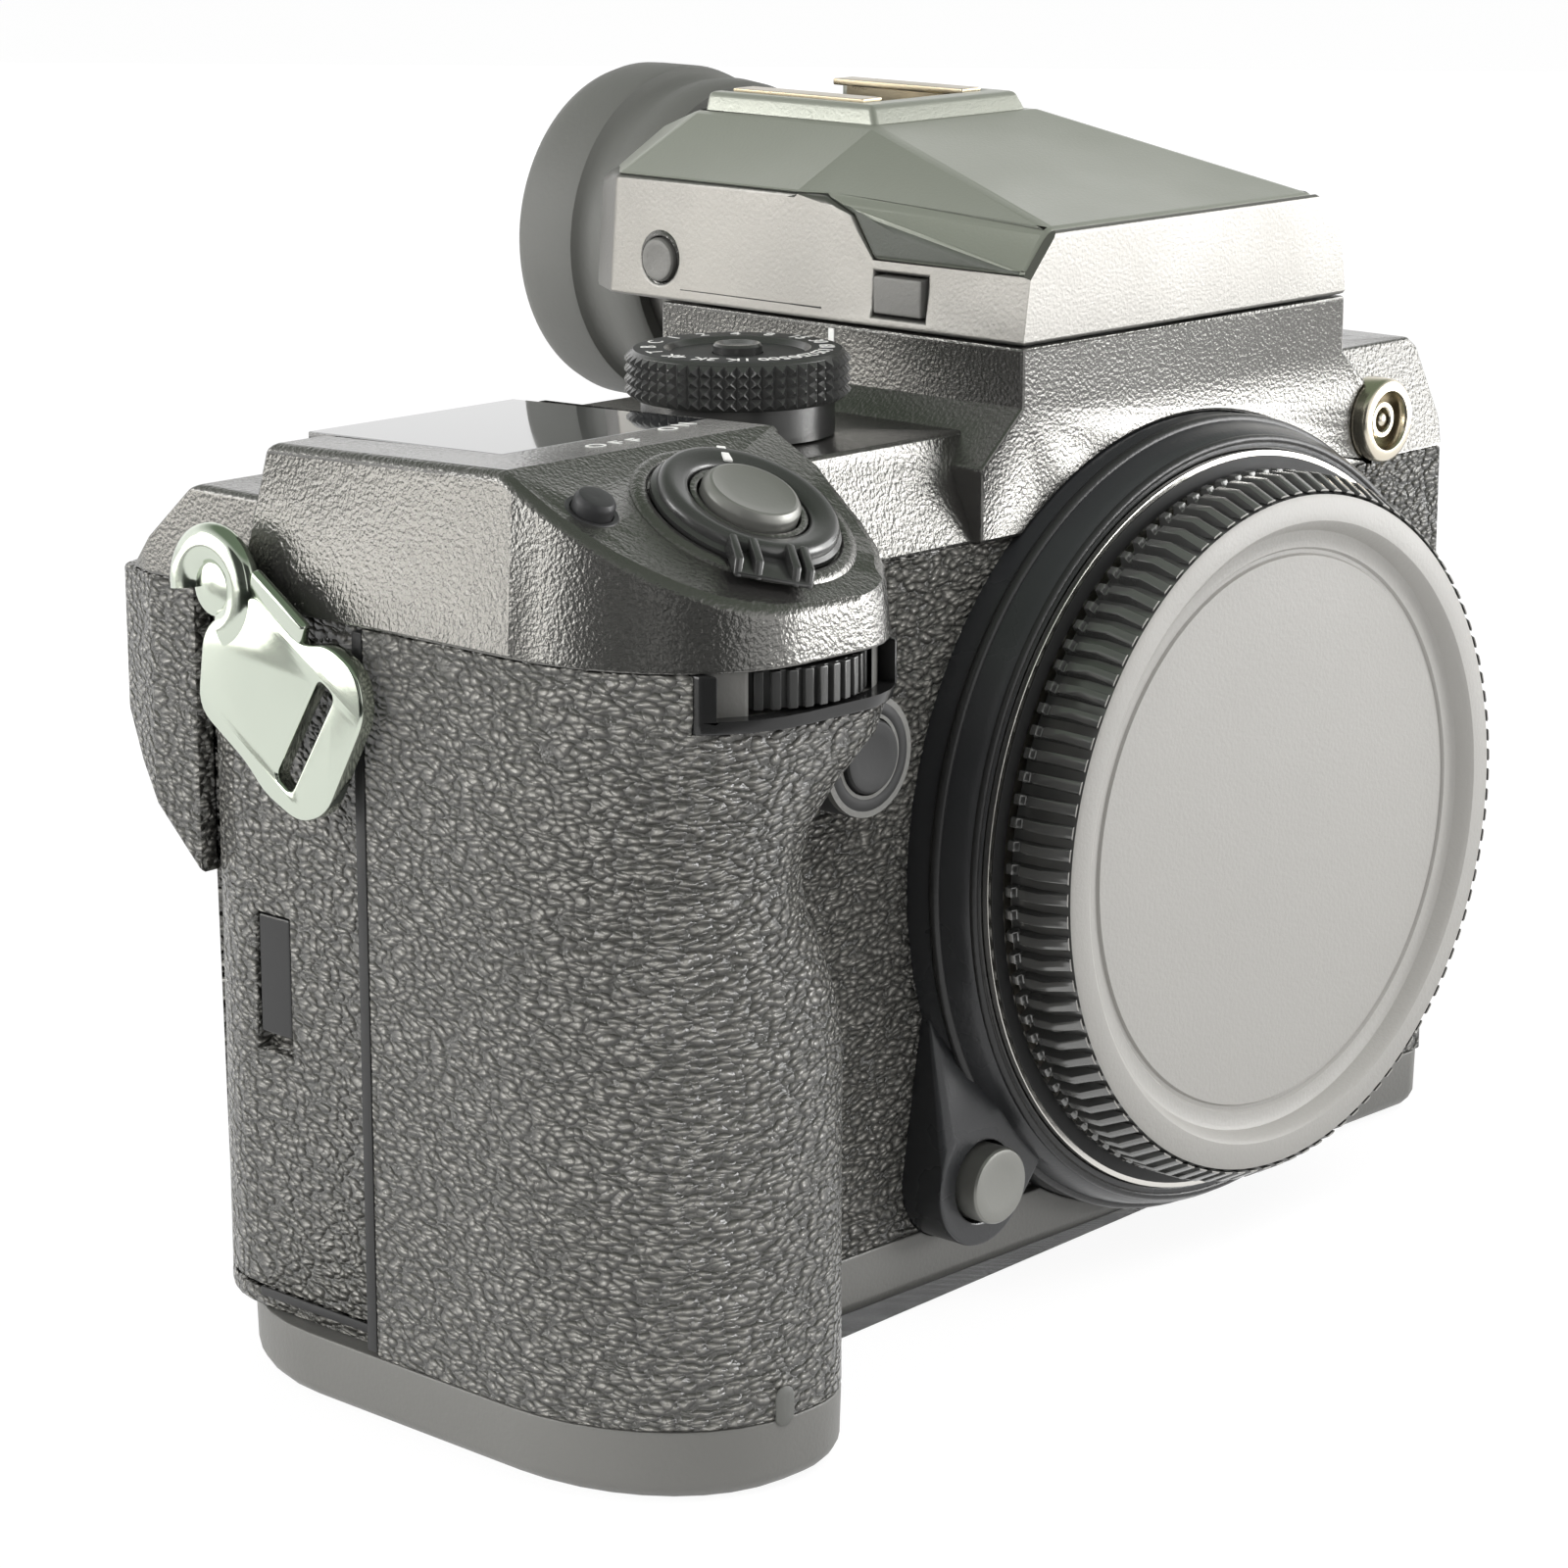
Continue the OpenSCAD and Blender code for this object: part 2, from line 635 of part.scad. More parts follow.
// Foot of the body: one outline round the grip and the body, with a rounded lower edge
foot_steps = 5;
foot_r = 3;
foot_rear_r = 20;
foot_front_r = 3.4;
function base_corner(x, y, r, d, a) = quarter(x, y, r - d, r - d, a);
function base_outline(d) = concat(
  grip_nose(-grip_reach, -grip_inner, -grip_foot_front, d, inner_corner_x, inner_corner_y),
  [[-grip_inner - d, front_y + d]],
  base_corner(right_reach - foot_front_r, front_y + foot_front_r, foot_front_r, d, 270),
  base_corner(right_reach - corner_r, rear_y - corner_r, corner_r, d, 0),
  base_corner(-grip_reach + foot_rear_r, rear_y - foot_rear_r, foot_rear_r, d, 90));
module base_plate() {
  color("#343434") flange_frame() difference() {
    loft([for (k = [0:foot_steps]) let (a = 90 * k / foot_steps)
      [for (p = base_outline(foot_r * (1 - sin(a))))
        [p[0], p[1], k == foot_steps ? base_h : foot_r * (1 - cos(a))]]]);
    translate([0, flange_depth, -1]) cylinder(h = far, r = tripod_r + 2.2);
    ycyl(0, axis_h, -far, plate_y, collar_r + 0.05);
    release_boss(plate_y, 0);
  }
}

module tripod_bush() {
  color("silver") flange_frame() translate([0, flange_depth, 0]) difference() {
    cylinder(h = base_h, r = tripod_r + 2.2);
    translate([0, 0, -1]) cylinder(h = tripod_depth + 1, r = tripod_r);
  }
}

module mount_collar() {
  color("#1c1c1c") flange_frame() difference() {
    union() {
      intersection() {
        translate([0, 0, axis_h]) rotate([90, 0, 0]) rotate_extrude() polygon([
          [36, -plate_y], [collar_r, -plate_y], [collar_r, -front_y + 1.2], [collar_r - 1.1, -1.8],
          [collar_r - 2, -0.6], [ring_r, -0.6], [ring_r, -ring_t], [36, -ring_t]]);
        box([-far, -far, 0.8], [far, far, far]);
      }
      difference() {
        release_boss(plate_y, 0);
        ycyl(0, axis_h, -far, far, collar_r - 1);
      }
    }
    ycyl(release_pos[0], release_pos[1], 0, release_boss_front + 4, release_r + 0.25);
    ycyl(release_pos[0], release_pos[1], 0, far, 1.6);
  }
}

// Bright ring of the bayonet, with three tabs at the throat
tab_arc = 52;
tab_in = 1.9;
module sector(a, r) {
  polygon(concat([[0, 0]], [for (i = [0:8]) [r * cos(a * (i / 8 - 0.5)), r * sin(a * (i / 8 - 0.5))]]));
}
module mount_ring() {
  color("gainsboro") flange_frame() translate([0, 0, axis_h]) rotate([90, 0, 0]) {
    translate([0, 0, -ring_t]) difference() {
      cylinder(h = ring_t, r = ring_r);
      translate([0, 0, -1]) cylinder(h = ring_t + 2, r = throat_r);
    }
    for (k = [0:2]) rotate([0, 0, 120 * k + 30]) intersection() {
      translate([0, 0, -1.4]) difference() {
        cylinder(h = 1.4, r = throat_r + 0.5);
        translate([0, 0, -1]) cylinder(h = 4, r = throat_r - tab_in);
      }
      translate([0, 0, -2]) linear_extrude(4) sector(tab_arc, far);
    }
  }
}

module body_cap() {
  color("#4a4a4a") flange_frame() translate([0, 0, axis_h]) rotate([90, 0, 0]) {
    rotate_extrude() polygon([
      [0, cap_front - 3.6], [throat_r - tab_in - 0.3 - 1.6, cap_front - 3.6],
      [throat_r - tab_in - 0.3 - 1.6, -ring_t - 0.4], [throat_r - tab_in - 0.3, -ring_t - 0.4],
      [throat_r - tab_in - 0.3, 0.3], [cap_r - 0.4, 0.3], [cap_r, 0.8], [cap_r, cap_front - 1.2],
      [cap_r - 1.2, cap_front], [cap_disc_r + 2.4, cap_front], [cap_disc_r + 0.6, cap_front - 0.9],
      [cap_disc_r, cap_front - 2], [cap_disc_r - 0.6, cap_front - 1.8], [0, cap_front - 1.8]]);
    for (k = [0:2]) rotate([0, 0, 120 * k + 30]) intersection() {
      translate([0, 0, -ring_t - 0.4]) difference() {
        cylinder(h = 1.5, r = throat_r - 0.3);
        translate([0, 0, -1]) cylinder(h = 4, r = throat_r - tab_in - 1);
      }
      translate([0, 0, -ring_t - 1]) linear_extrude(4) sector(tab_arc - 8, far);
    }
  }
}

module light_box() {
  color("#151515") flange_frame() difference() {
    union() {
      ycyl(0, axis_h, ring_t + 0.9, plate_y, 36);
      box([-27, plate_y - 2, axis_h - 22], [27, 20, axis_h + 22]);
    }
    ycyl(0, axis_h, 0, 6.4, 33);
    box([-24, 0, axis_h - 19], [24, far, axis_h + 19]);
  }
}

module contact_block() {
  color("goldenrod") flange_frame() difference() {
    box([-12, 4.8, axis_h - 30.4], [12, 6.4, axis_h - 26]);
    for (k = [-5:5]) ycyl(k * 2, axis_h - 28, 0, 5.2, 0.5);
  }
}

module shutter_unit() {
  color("#202020") flange_frame() difference() {
    box([-33, 20, axis_h - 27], [33, 24.5, axis_h + 27]);
    box([-23, 19, axis_h - 18], [23, 23.2, axis_h + 18]);
  }
}

module image_sensor() {
  color("#26324a") flange_frame() {
    box([-29, 24.5, axis_h - 23], [29, 29, axis_h + 23]);
  }
}

module main_board() {
  color("#1f5a34") flange_frame() box([-54, 29, base_h + 3], [side_in - 3, 30.6, seam_h - 3]);
}

module card_slots() {
  color("#555555") flange_frame() difference() {
    box([-door_x + 4.2, grip_end_y + 3, door_z0 + 5], [-54, 43, door_z0 + door_h - 8]);
    for (k = [0:1]) box([-door_x, 27 + k * 8, door_z0 + 10], [-62, 30 + k * 8, door_z0 + door_h - 17]);
  }
}

module battery_case() {
  color("#3c3c3c") flange_frame() difference() {
    union() {
      box([battery_x0 - 1.6, 30.6, battery_z0 - 1.6],
          [side_in - 1.3, battery_y0 + battery_size[1] + 1.9, battery_z0 + battery_size[2] + 1.6]);
      box([battery_x0, battery_y0 + battery_size[1] + 1, battery_z0],
          [side_in - 8, inner_rear, battery_z0 + battery_size[2]]);
    }
    box([battery_x0 - 0.3, battery_y0 - 0.3, battery_z0],
        [far, battery_y0 + battery_size[1] + 0.3, battery_z0 + battery_size[2] + 0.3]);
  }
}

module battery() {
  color("#1d1d1f") flange_frame() translate([battery_x0, battery_y0, battery_z0]) cube(battery_size);
}

module battery_door() {
  color("#353535") flange_frame() battery_door_form(0);
}

module port_door() {
  color("#303030") flange_frame() port_door_form(0);
}

module sync_terminal() {
  color("silver") flange_frame() {
    difference() {
      union() {
        ycyl(sync_x, sync_z, 5, 8, 4.5);
        ycyl(sync_x, sync_z, 7, 14, 3.4);
      }
      ycyl(sync_x, sync_z, 0, 7.4, 3.1);
    }
    ycyl(sync_x, sync_z, 5.2, 8, 1);
  }
}

// A lug on each side: a shank through the cover and a round head
module strap_lugs() {
  color("#262626") flange_frame() for (side = [-1, 1]) {
    x_wall = side < 0 ? -grip_reach + 0.6 : right_reach;
    x_end = x_wall + side * (side < 0 ? 4.6 : 1.4);
    xcyl(lug_y, lug_z, min(x_wall - side * 4, x_end), max(x_wall - side * 4, x_end), lug_r);
    xcyl(lug_y, lug_z, min(x_end, x_end + side * 1.2), max(x_end, x_end + side * 1.2), lug_r + 0.8);
  }
}

module shutter_button() {
  color("#2a2a2a") flange_frame() on_platform() {
    translate([0, 0, 0.4]) cylinder(h = 2.6, r = shutter_r);
    translate([0, 0, -9]) cylinder(h = 9.5, r = 1.55);
    translate([0, 0, -9]) cylinder(h = 1, r = 2.6);
  }
}

module power_lever() {
  color("#333333") flange_frame() on_platform() difference() {
    union() {
      translate([0, 0, 0.2]) cylinder(h = lever_h, r = lever_r);
      rotate([0, 0, lever_rest]) translate([lever_r - 1.5, -3.9, 0.2]) cube([4.6, 7.8, lever_h + 0.4]);
    }
    translate([0, 0, -1]) cylinder(h = 9, r = boss_r + run);
  }
}

module exposure_button() {
  color("#222222") flange_frame() on_platform() translate([exposure_pos[0], exposure_pos[1], -0.6])
    cylinder(h = 2.2, r = exposure_r);
}

module front_dial() {
  color("#1b1b1b") flange_frame() translate([front_dial_x, front_dial_y, front_dial_z]) difference() {
    ribbed_wheel(front_dial_r, front_dial_t, front_dial_ribs, 0.6);
    translate([0, 0, -1]) cylinder(h = 9, r = 2 + run);
  }
}

module fn_button() {
  color("#1e1e1e") flange_frame() {
    ycyl(fn_pos[0], fn_pos[1], fn_boss_front - 0.6, fn_boss_front + 2, fn_r);
    ycyl(fn_pos[0], fn_pos[1], fn_boss_front + 1, inner_front + 1, 1.4);
    ycyl(fn_pos[0], fn_pos[1], inner_front + 1, inner_front + 2, 2.4);
  }
}

module lens_release() {
  color("#1e1e1e") flange_frame() {
    ycyl(release_pos[0], release_pos[1], release_boss_front - 2.2, release_boss_front + 1.2, release_r);
    ycyl(release_pos[0], release_pos[1], release_boss_front, plate_y + 1, 1.5);
    ycyl(release_pos[0], release_pos[1], plate_y + 0.6, plate_y + 1.4, 3);
  }
}

// A top dial over a shoulder: ribbed rim, shaft through the cover, hole for its lock button
module top_dial(pos, r, ribs, shoulder) {
  foot = shoulder + 0.2;
  translate([pos[0], pos[1], 0]) difference() {
    union() {
      translate([0, 0, dial_top_h - dial_rim]) ribbed_wheel(r, dial_rim, ribs, 0.5);
      translate([0, 0, foot]) cylinder(h = dial_top_h - foot - 1, r = r * 0.86);
      translate([0, 0, seam_h + 1.4]) cylinder(h = foot - seam_h, r = dial_shaft_r);
      translate([0, 0, seam_h + 1.4]) cylinder(h = 1.2, r = dial_shaft_r + 1);
    }
    translate([0, 0, seam_h]) cylinder(h = far, r = dial_lock_r + run);
  }
}
module lock_button(pos) {
  translate([pos[0], pos[1], seam_h + 2]) cylinder(h = dial_top_h + 0.7 - seam_h - 2, r = dial_lock_r);
}
speed_pos = [speed_x, speed_y];
iso_pos = [iso_x, iso_y];
module speed_dial() { color("#202020") flange_frame() top_dial(speed_pos, speed_r, 54, shoulder_h); }
module speed_lock() { color("#2a2a2a") flange_frame() lock_button(speed_pos); }
module iso_dial() { color("#202020") flange_frame() top_dial(iso_pos, iso_r, 40, right_shoulder_h); }
module iso_lock() { color("#2a2a2a") flange_frame() lock_button(iso_pos); }

module drive_button() {
  color("#222222") flange_frame() translate([drive_pos[0], drive_pos[1], right_shoulder_h - 0.4])
    cylinder(h = 1.4, r = 2);
}

module card_door() {
  color("#3a3a3a") flange_frame() difference() {
    intersection() {
      body_form(door_z0, door_z0 + door_h, 0);
      box([-far, door_y0, 0], [-80, door_y0 + door_l, far]);
    }
    body_form(door_z0 - 1, door_z0 + door_h + 1, door_t);
    card_latch_form(0.15);
  }
}

// Sliding latch, sunk in the card door
latch_y = 34;
latch_z = door_z0 + 0.4 * door_h;
module card_latch_form(d) {
  box([-door_x - 1, latch_y - d, latch_z - d - (d > 0 ? 1.4 : 0)],
      [-door_x + 1.4 + d, latch_y + 4.4 + d, latch_z + 11.5 + d]);
}
module card_latch() {
  color("#151515") flange_frame() box([-door_x + 0.2, latch_y, latch_z],
    [-door_x + 1.4, latch_y + 4.4, latch_z + 11.5]);
}

// The clip in its own frame: u from the hook to the slot, v across, thickness along X
module on_clip() {
  translate([clip_x, lug_y, lug_z]) rotate([180 + clip_angle, 0, 0]) rotate([90, 0, 90]) children();
}

module strap_clip() {
  color("gainsboro") flange_frame() on_clip() difference() {
    union() {
      linear_extrude(clip_t) polygon([[1.7, 3.4], [4.4, 11.2], [12.2, 11.2], [15.5, 12], [20.6, 11.2],
        [22.9, 8.2], [22.4, -3], [19.6, -6], [15.2, -5.6], [12.6, -3.2], [5.2, -3.2]]);
      difference() {
        translate([0.2, 0.3, 0]) cylinder(h = clip_t, r = 5.9);
        translate([0, 0, -1]) linear_extrude(9) polygon([[2.6, -1.2], [9, -10], [14, -1.2], [6, -0.7]]);
      }
    }
    translate([0, 0, -1]) cylinder(h = 9, r = lug_r + run);
    translate([15.9, -2.1, -1]) cube([2.5, 11.7, 9]);
  }
}

// Lock bar that closes the hook
module clip_lock() {
  color("silver") flange_frame() on_clip() translate([4.4, -5.2, 0]) cube([8.2, 2, clip_t]);
}

// Ring of the viewfinder in front view: foot, side, roof edge, and back again
function finder_ring(y, half, z0, side, z1, roof, z2) = [for (p = [
  [-half, z0], [half, z0], [side, z1], [roof, z2], [-roof, z2], [-side, z1]]) [p[0], p[1], -y]];
module finder_form(d) {
  z0 = finder_z + d;
  rotate([90, 0, 0]) loft([
    finder_ring(finder_end_y - d, hump_half - 3 - d, z0, side_half - 3 - d, side_h - 1,
      roof_half - d / 2, roof_h - 2 - d),
    finder_ring(finder_end_y - 5 - d, hump_half - d, z0, side_half - d, side_h,
      roof_half - d / 2, roof_h - d),
    finder_ring(roof_y, hump_half - d, z0, side_half - d, side_h, roof_half - d / 2, roof_h - d),
    finder_ring(finder_front + d, hump_half - d, z0, side_half - d, side_front_h,
      roof_front_half - d / 2, roof_front_h - d)], other = 4);
}

// Side view of the roof: what lies above the split line
module roof_cut() {
  translate([-far, 0, 0]) rotate([90, 0, 90]) linear_extrude(2 * far) polygon([
    [finder_front + 1, side_front_h + 0.2],
    [27, side_front_h + 0.2], [30, side_h - 1.6], [34.5, side_h], [far, side_h], [far, far],
    [finder_front + 1, far]]);
}

module finder_housing() {
  color("#333333") flange_frame() difference() {
    union() {
      difference() {
        finder_form(0);
        finder_form(2);
      }
      ycyl(0, eye_h, finder_end_y - 9, barrel_end_y, barrel_r);
      finder_foot(hump_end_y - 1, 0);
    }
    difference() {
      roof_cut();
      ycyl(0, eye_h, finder_end_y - 9.1, far, barrel_r + 0.02);
    }
    ycyl(0, eye_h, finder_end_y - 9.1, far, barrel_r - 2);
    box([-9.4, shoe_y0, roof_h - 0.6], [9.4, shoe_y0 + 18.6, far]);
    release_pocket(-1, 0.2);
    release_pocket(1, 0.2);
    xcyl(view_pos[0], view_pos[1], -far, -side_half + 1.6, 2.5);
    xcyl(diopter_pos[0], diopter_pos[1], side_half - 3.2, far, 4.6);
    xcyl(diopter_pos[0], diopter_pos[1], 10, far, 1.2 + run);
  }
}

// Raised rim round the hot shoe, with slanted walls
module shoe_rim() {
  rim_end = finder_end_y - 5.2;
  function ring(half, y0, z) = [[-half, y0, z], [half, y0, z], [half, rim_end, z], [-half, rim_end, z]];
  loft([ring(roof_half - 0.8, roof_y + 0.6, roof_h - 0.5), ring(roof_half - 1.5, roof_y + 1.8, roof_h + 1.9)]);
}

module finder_roof() {
  color("#3a3d36") flange_frame() difference() {
    union() {
      intersection() {
        difference() {
          finder_form(0);
          finder_form(2);
        }
        roof_cut();
      }
      shoe_rim();
    }
    ycyl(0, eye_h, finder_end_y - 9.1, far, barrel_r + 0.02);
    box([-9.4, shoe_y0, roof_h - 0.6], [9.4, shoe_y0 + 18.6, far]);
    box([-9.4, shoe_y0, roof_h], [9.4, far, far]);
  }
}

shoe_y0 = roof_y + 5;
module hot_shoe() {
  color("silver") flange_frame() difference() {
    box([-9.4, shoe_y0, roof_h - 0.6], [9.4, shoe_y0 + 18.6, roof_h + 2.2]);
    box([-9.3 + 0.9, shoe_y0 - 1, roof_h - 0.1], [9.3 - 0.9, shoe_y0 + 30, roof_h + 1.5]);
    box([-6.3, shoe_y0 - 1, roof_h], [6.3, shoe_y0 + 30, far]);
  }
}

module eyepiece() {
  color("#101820") flange_frame() ycyl(0, eye_h, finder_end_y - 2, finder_end_y + 2, barrel_r - 2);
}

module eyecup() {
  color("#181818") flange_frame() translate([0, 0, eye_h]) rotate([90, 0, 0]) rotate_extrude() polygon([
    [barrel_r, -finder_end_y - 0.6], [barrel_r + 1.8, -finder_end_y - 0.6],
    [eyecup_r, -finder_end_y - 6], [eyecup_r, -eyecup_end_y + 1], [eyecup_r - 1, -eyecup_end_y],
    [eyecup_r - 2.4, -eyecup_end_y], [barrel_r - 1.4, -barrel_end_y - 1.4], [barrel_r - 1.4, -barrel_end_y],
    [barrel_r, -barrel_end_y]]);
}

// Release buttons of the viewfinder, one on each side near its foot
release_y = 20;
module release_pocket(side, d) {
  translate([side * (side_half + 0.2), release_y - d, finder_z + 1.4 - d])
    translate([side < 0 ? -far : -1.6 - d, 0, 0]) cube([far + 1.6 + d, 6.4 + 2 * d, 3.8 + 2 * d]);
}
module release_key(side) {
  x = side * (side_half - 0.9);
  box([min(x, x + side * 1.9), release_y, finder_z + 1.4],
      [max(x, x + side * 1.9), release_y + 6.4, finder_z + 5.2]);
}
module finder_release_l() { color("#262626") flange_frame() release_key(-1); }
module finder_release_r() { color("#262626") flange_frame() release_key(1); }

view_pos = [56.5, finder_z + 4.09];
module view_button() {
  color("#262626") flange_frame() xcyl(view_pos[0], view_pos[1], -side_half - 1.2, -side_half + 0.6, 2.3);
}

diopter_pos = [58.5, finder_z + 5.29];
module diopter_dial() {
  color("#262626") flange_frame() {
    translate([side_half - 2.9, diopter_pos[0], diopter_pos[1]]) rotate([0, 90, 0])
      ribbed_wheel(4.3, 3.6, 24, 0.3);
    xcyl(diopter_pos[0], diopter_pos[1], side_half - 6, side_half - 2, 1.2);
  }
}

// Rear display: a plate that tilts up, one that tilts down, and the screen that swings aside
module lcd_tilt() {
  color("#3a3a3a") flange_frame()
    box([-lcd_w / 2 + 3, tilt_y, lcd_z0 + 1], [lcd_w / 2 - 3, tilt_y + lcd_plate_t, lcd_top]);
}
module lcd_drop() {
  color("#444444") flange_frame()
    box([-lcd_w / 2 + 3, drop_y, lcd_z0], [lcd_w / 2 - 3, drop_y + lcd_plate_t, lcd_top - 1]);
}
module lcd_frame() {
  color("#262626") flange_frame() difference() {
    box([-lcd_w / 2, lcd_y, lcd_z0], [lcd_w / 2, lcd_y + lcd_t, lcd_top]);
    box([-lcd_w / 2 + 3, lcd_y + lcd_t - 1, lcd_z0 + 3], [lcd_w / 2 - 3, lcd_y + lcd_t + 1, lcd_top - 3]);
  }
}
module lcd_glass() {
  color("#0b0f12") flange_frame()
    box([-lcd_w / 2 + 3, lcd_y + lcd_t - 1, lcd_z0 + 3], [lcd_w / 2 - 3, lcd_y + lcd_t - 0.1, lcd_top - 3]);
}

module rear_dial() {
  color("#1b1b1b") flange_frame() translate(rear_dial_pos) difference() {
    ribbed_wheel(rear_dial_r, rear_dial_t, 36, 0.5);
    translate([0, 0, -1]) cylinder(h = 9, r = 1.6 + run);
  }
}
module focus_stick() {
  color("#1b1b1b") flange_frame() {
    ycyl(stick_pos[0], stick_pos[1], rear_y - 1.2, rear_y + 2, 1.4);
    ycyl(stick_pos[0], stick_pos[1], rear_y + 1.6, rear_y + 3.4, 2.8);
  }
}
module selector_pad() {
  color("#222222") flange_frame() difference() {
    ycyl(pad_pos[0], pad_pos[1], rear_y - 0.4, rear_y + 1.6, pad_r);
    ycyl(pad_pos[0], pad_pos[1], rear_y + 0.9, rear_y + 3, pad_r - 2.6);
  }
}
module play_button() {
  color("#222222") flange_frame() ycyl(play_pos[0], play_pos[1], rear_y - 0.4, rear_y + 1, 2.5);
}
module af_button() {
  color("#222222") flange_frame() ycyl(af_pos[0], af_pos[1], thumb_y - 4, thumb_y + 0.4, 3);
}

front_cover();
grip_leather();
front_leather();
top_cover();
rear_cover();
side_cover();
base_plate();
mount_collar();
mount_ring();
light_box();
shutter_unit();
image_sensor();
main_board();
contact_block();
card_slots();
battery_case();
sub_lcd_glass();
sync_terminal();
strap_lugs();
dial_trim();
tripod_bush();
body_cap();
shutter_button();
power_lever();
exposure_button();
front_dial();
fn_button();
lens_release();
speed_dial();
speed_lock();
iso_dial();
iso_lock();
drive_button();
card_door();
card_latch();
strap_clip();
clip_lock();
battery_door();
battery();
port_door();
finder_housing();
finder_roof();
eyepiece();
eyecup();
hot_shoe();
finder_release_l();
finder_release_r();
view_button();
diopter_dial();
lcd_tilt();
lcd_drop();
lcd_frame();
lcd_glass();
rear_dial();
focus_stick();
selector_pad();
play_button();
af_button();
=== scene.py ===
# %% [markdown]
# # A medium format camera, dressed over its solids
# The solids already have the right sizes and joints. This lesson puts a skin on them: rounded
# covers, pebbled leather, knurled dials, a ribbed cap and a polished strap clip. Every length is in
# metres in the scene, so sizes are written in millimetres and multiplied by MM.

# %% Load the frame
import json
import math
from contextlib import contextmanager

import bmesh
import bpy
from mathutils import Matrix, Vector


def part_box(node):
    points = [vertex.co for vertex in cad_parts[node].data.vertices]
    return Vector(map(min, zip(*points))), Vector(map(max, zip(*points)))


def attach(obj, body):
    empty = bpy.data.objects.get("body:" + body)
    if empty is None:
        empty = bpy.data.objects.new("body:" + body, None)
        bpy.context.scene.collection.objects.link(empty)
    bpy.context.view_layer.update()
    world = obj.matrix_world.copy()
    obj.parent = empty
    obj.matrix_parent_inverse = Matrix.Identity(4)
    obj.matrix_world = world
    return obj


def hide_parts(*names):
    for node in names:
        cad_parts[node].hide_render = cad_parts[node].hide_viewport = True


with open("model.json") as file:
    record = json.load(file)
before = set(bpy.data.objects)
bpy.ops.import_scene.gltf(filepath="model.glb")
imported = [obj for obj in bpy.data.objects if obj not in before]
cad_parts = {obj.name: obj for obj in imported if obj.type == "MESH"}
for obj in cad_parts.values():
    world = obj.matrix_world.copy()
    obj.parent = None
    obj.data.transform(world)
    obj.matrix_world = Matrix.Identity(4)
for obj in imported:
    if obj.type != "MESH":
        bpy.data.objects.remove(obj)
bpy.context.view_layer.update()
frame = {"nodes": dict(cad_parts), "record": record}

MM = 0.001
slot_of = {row["node"]: row["material_slot"] for row in frame["record"]["subparts"]}
bodies = frame["record"]["behaviour"]["bodies"]
body_of = {node: body for body, nodes in bodies.items() for node in nodes}

# %% [markdown]
# ## Where things are
# The lens flange and the lens axis give most places on a camera, so they are read from the mount
# ring's solid. Points are then written as millimetres right of the axis, behind the flange and
# above the table.

# %% The flange's frame
ring_low, ring_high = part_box("mount_ring")
flange_y = ring_low.y
axis_z = (ring_low.z + ring_high.z) / 2


def at(x, y, z):
    """A point given in millimetres from the flange, as a point of the scene."""
    return Vector((x * MM, flange_y + y * MM, z * MM))


def spun(degrees, axis):
    """A turn about one axis of the scene."""
    return Matrix.Rotation(math.radians(degrees), 4, axis)


lens_frame = Matrix.Translation((0, flange_y, axis_z)) @ spun(90, "X")
print("flange at y", round(flange_y / MM, 2), "axis at z", round(axis_z / MM, 2))

# %% [markdown]
# ## Camera
# The camera stands front left of the body and a little above it. Its place and focal length were
# worked out from circles whose size is known: the mount ring, the cap and the dial.

# %% Camera
CAMERA_PLACE = at(-362.46, -277.27, 159.35)
CAMERA_YAW = math.radians(46.81)
CAMERA_PITCH = math.radians(-13.89)
CAMERA_LENS = 104.88

camera_data = bpy.data.cameras.new("studio_camera")
camera_data.lens = CAMERA_LENS
camera_data.sensor_width = 36
camera_data.clip_start = 0.01
camera = bpy.data.objects.new("studio_camera", camera_data)
camera.location = CAMERA_PLACE
camera.rotation_euler = (math.radians(90) + CAMERA_PITCH, 0, -CAMERA_YAW)
bpy.context.scene.collection.objects.link(camera)
bpy.context.scene.camera = camera
print("camera", round((CAMERA_PLACE - Vector((0, 0, axis_z))).length, 3), "m from the mount")

# %% [markdown]
# ## Floor and light
# The object stands on a white table that reflects into every vertical face of it. Low soft lamps
# round the table give the long shine on the paint, and one more hangs above. The room is white near
# the horizon and dim overhead, which the sloping faces mirror. Four cards show in reflections
# alone: dark ones beside the camera and on the left keep the corner of the grip dark, as the person
# behind a camera does, and bright ones on the right and at the rear light the flat faces.

# %% Number nodes
def math_node(tree, operation, a, b):
    """A math node fed by sockets or plain numbers."""
    node = tree.nodes.new("ShaderNodeMath")
    node.operation = operation
    for socket, value in zip(node.inputs, (a, b)):
        if isinstance(value, (int, float)):
            socket.default_value = value
        else:
            tree.links.new(value, socket)
    return node.outputs[0]


# %% Floor
FLOOR_RADIUS = 4
FLOOR_GLOW = 1.07
GLOW_SHARE = 0.86

bpy.ops.object.select_all(action="DESELECT")
bpy.ops.mesh.primitive_circle_add(
    vertices=64, radius=FLOOR_RADIUS, fill_type="NGON", location=(0, 0, 0))
floor = bpy.context.object
floor.name = "table_top"

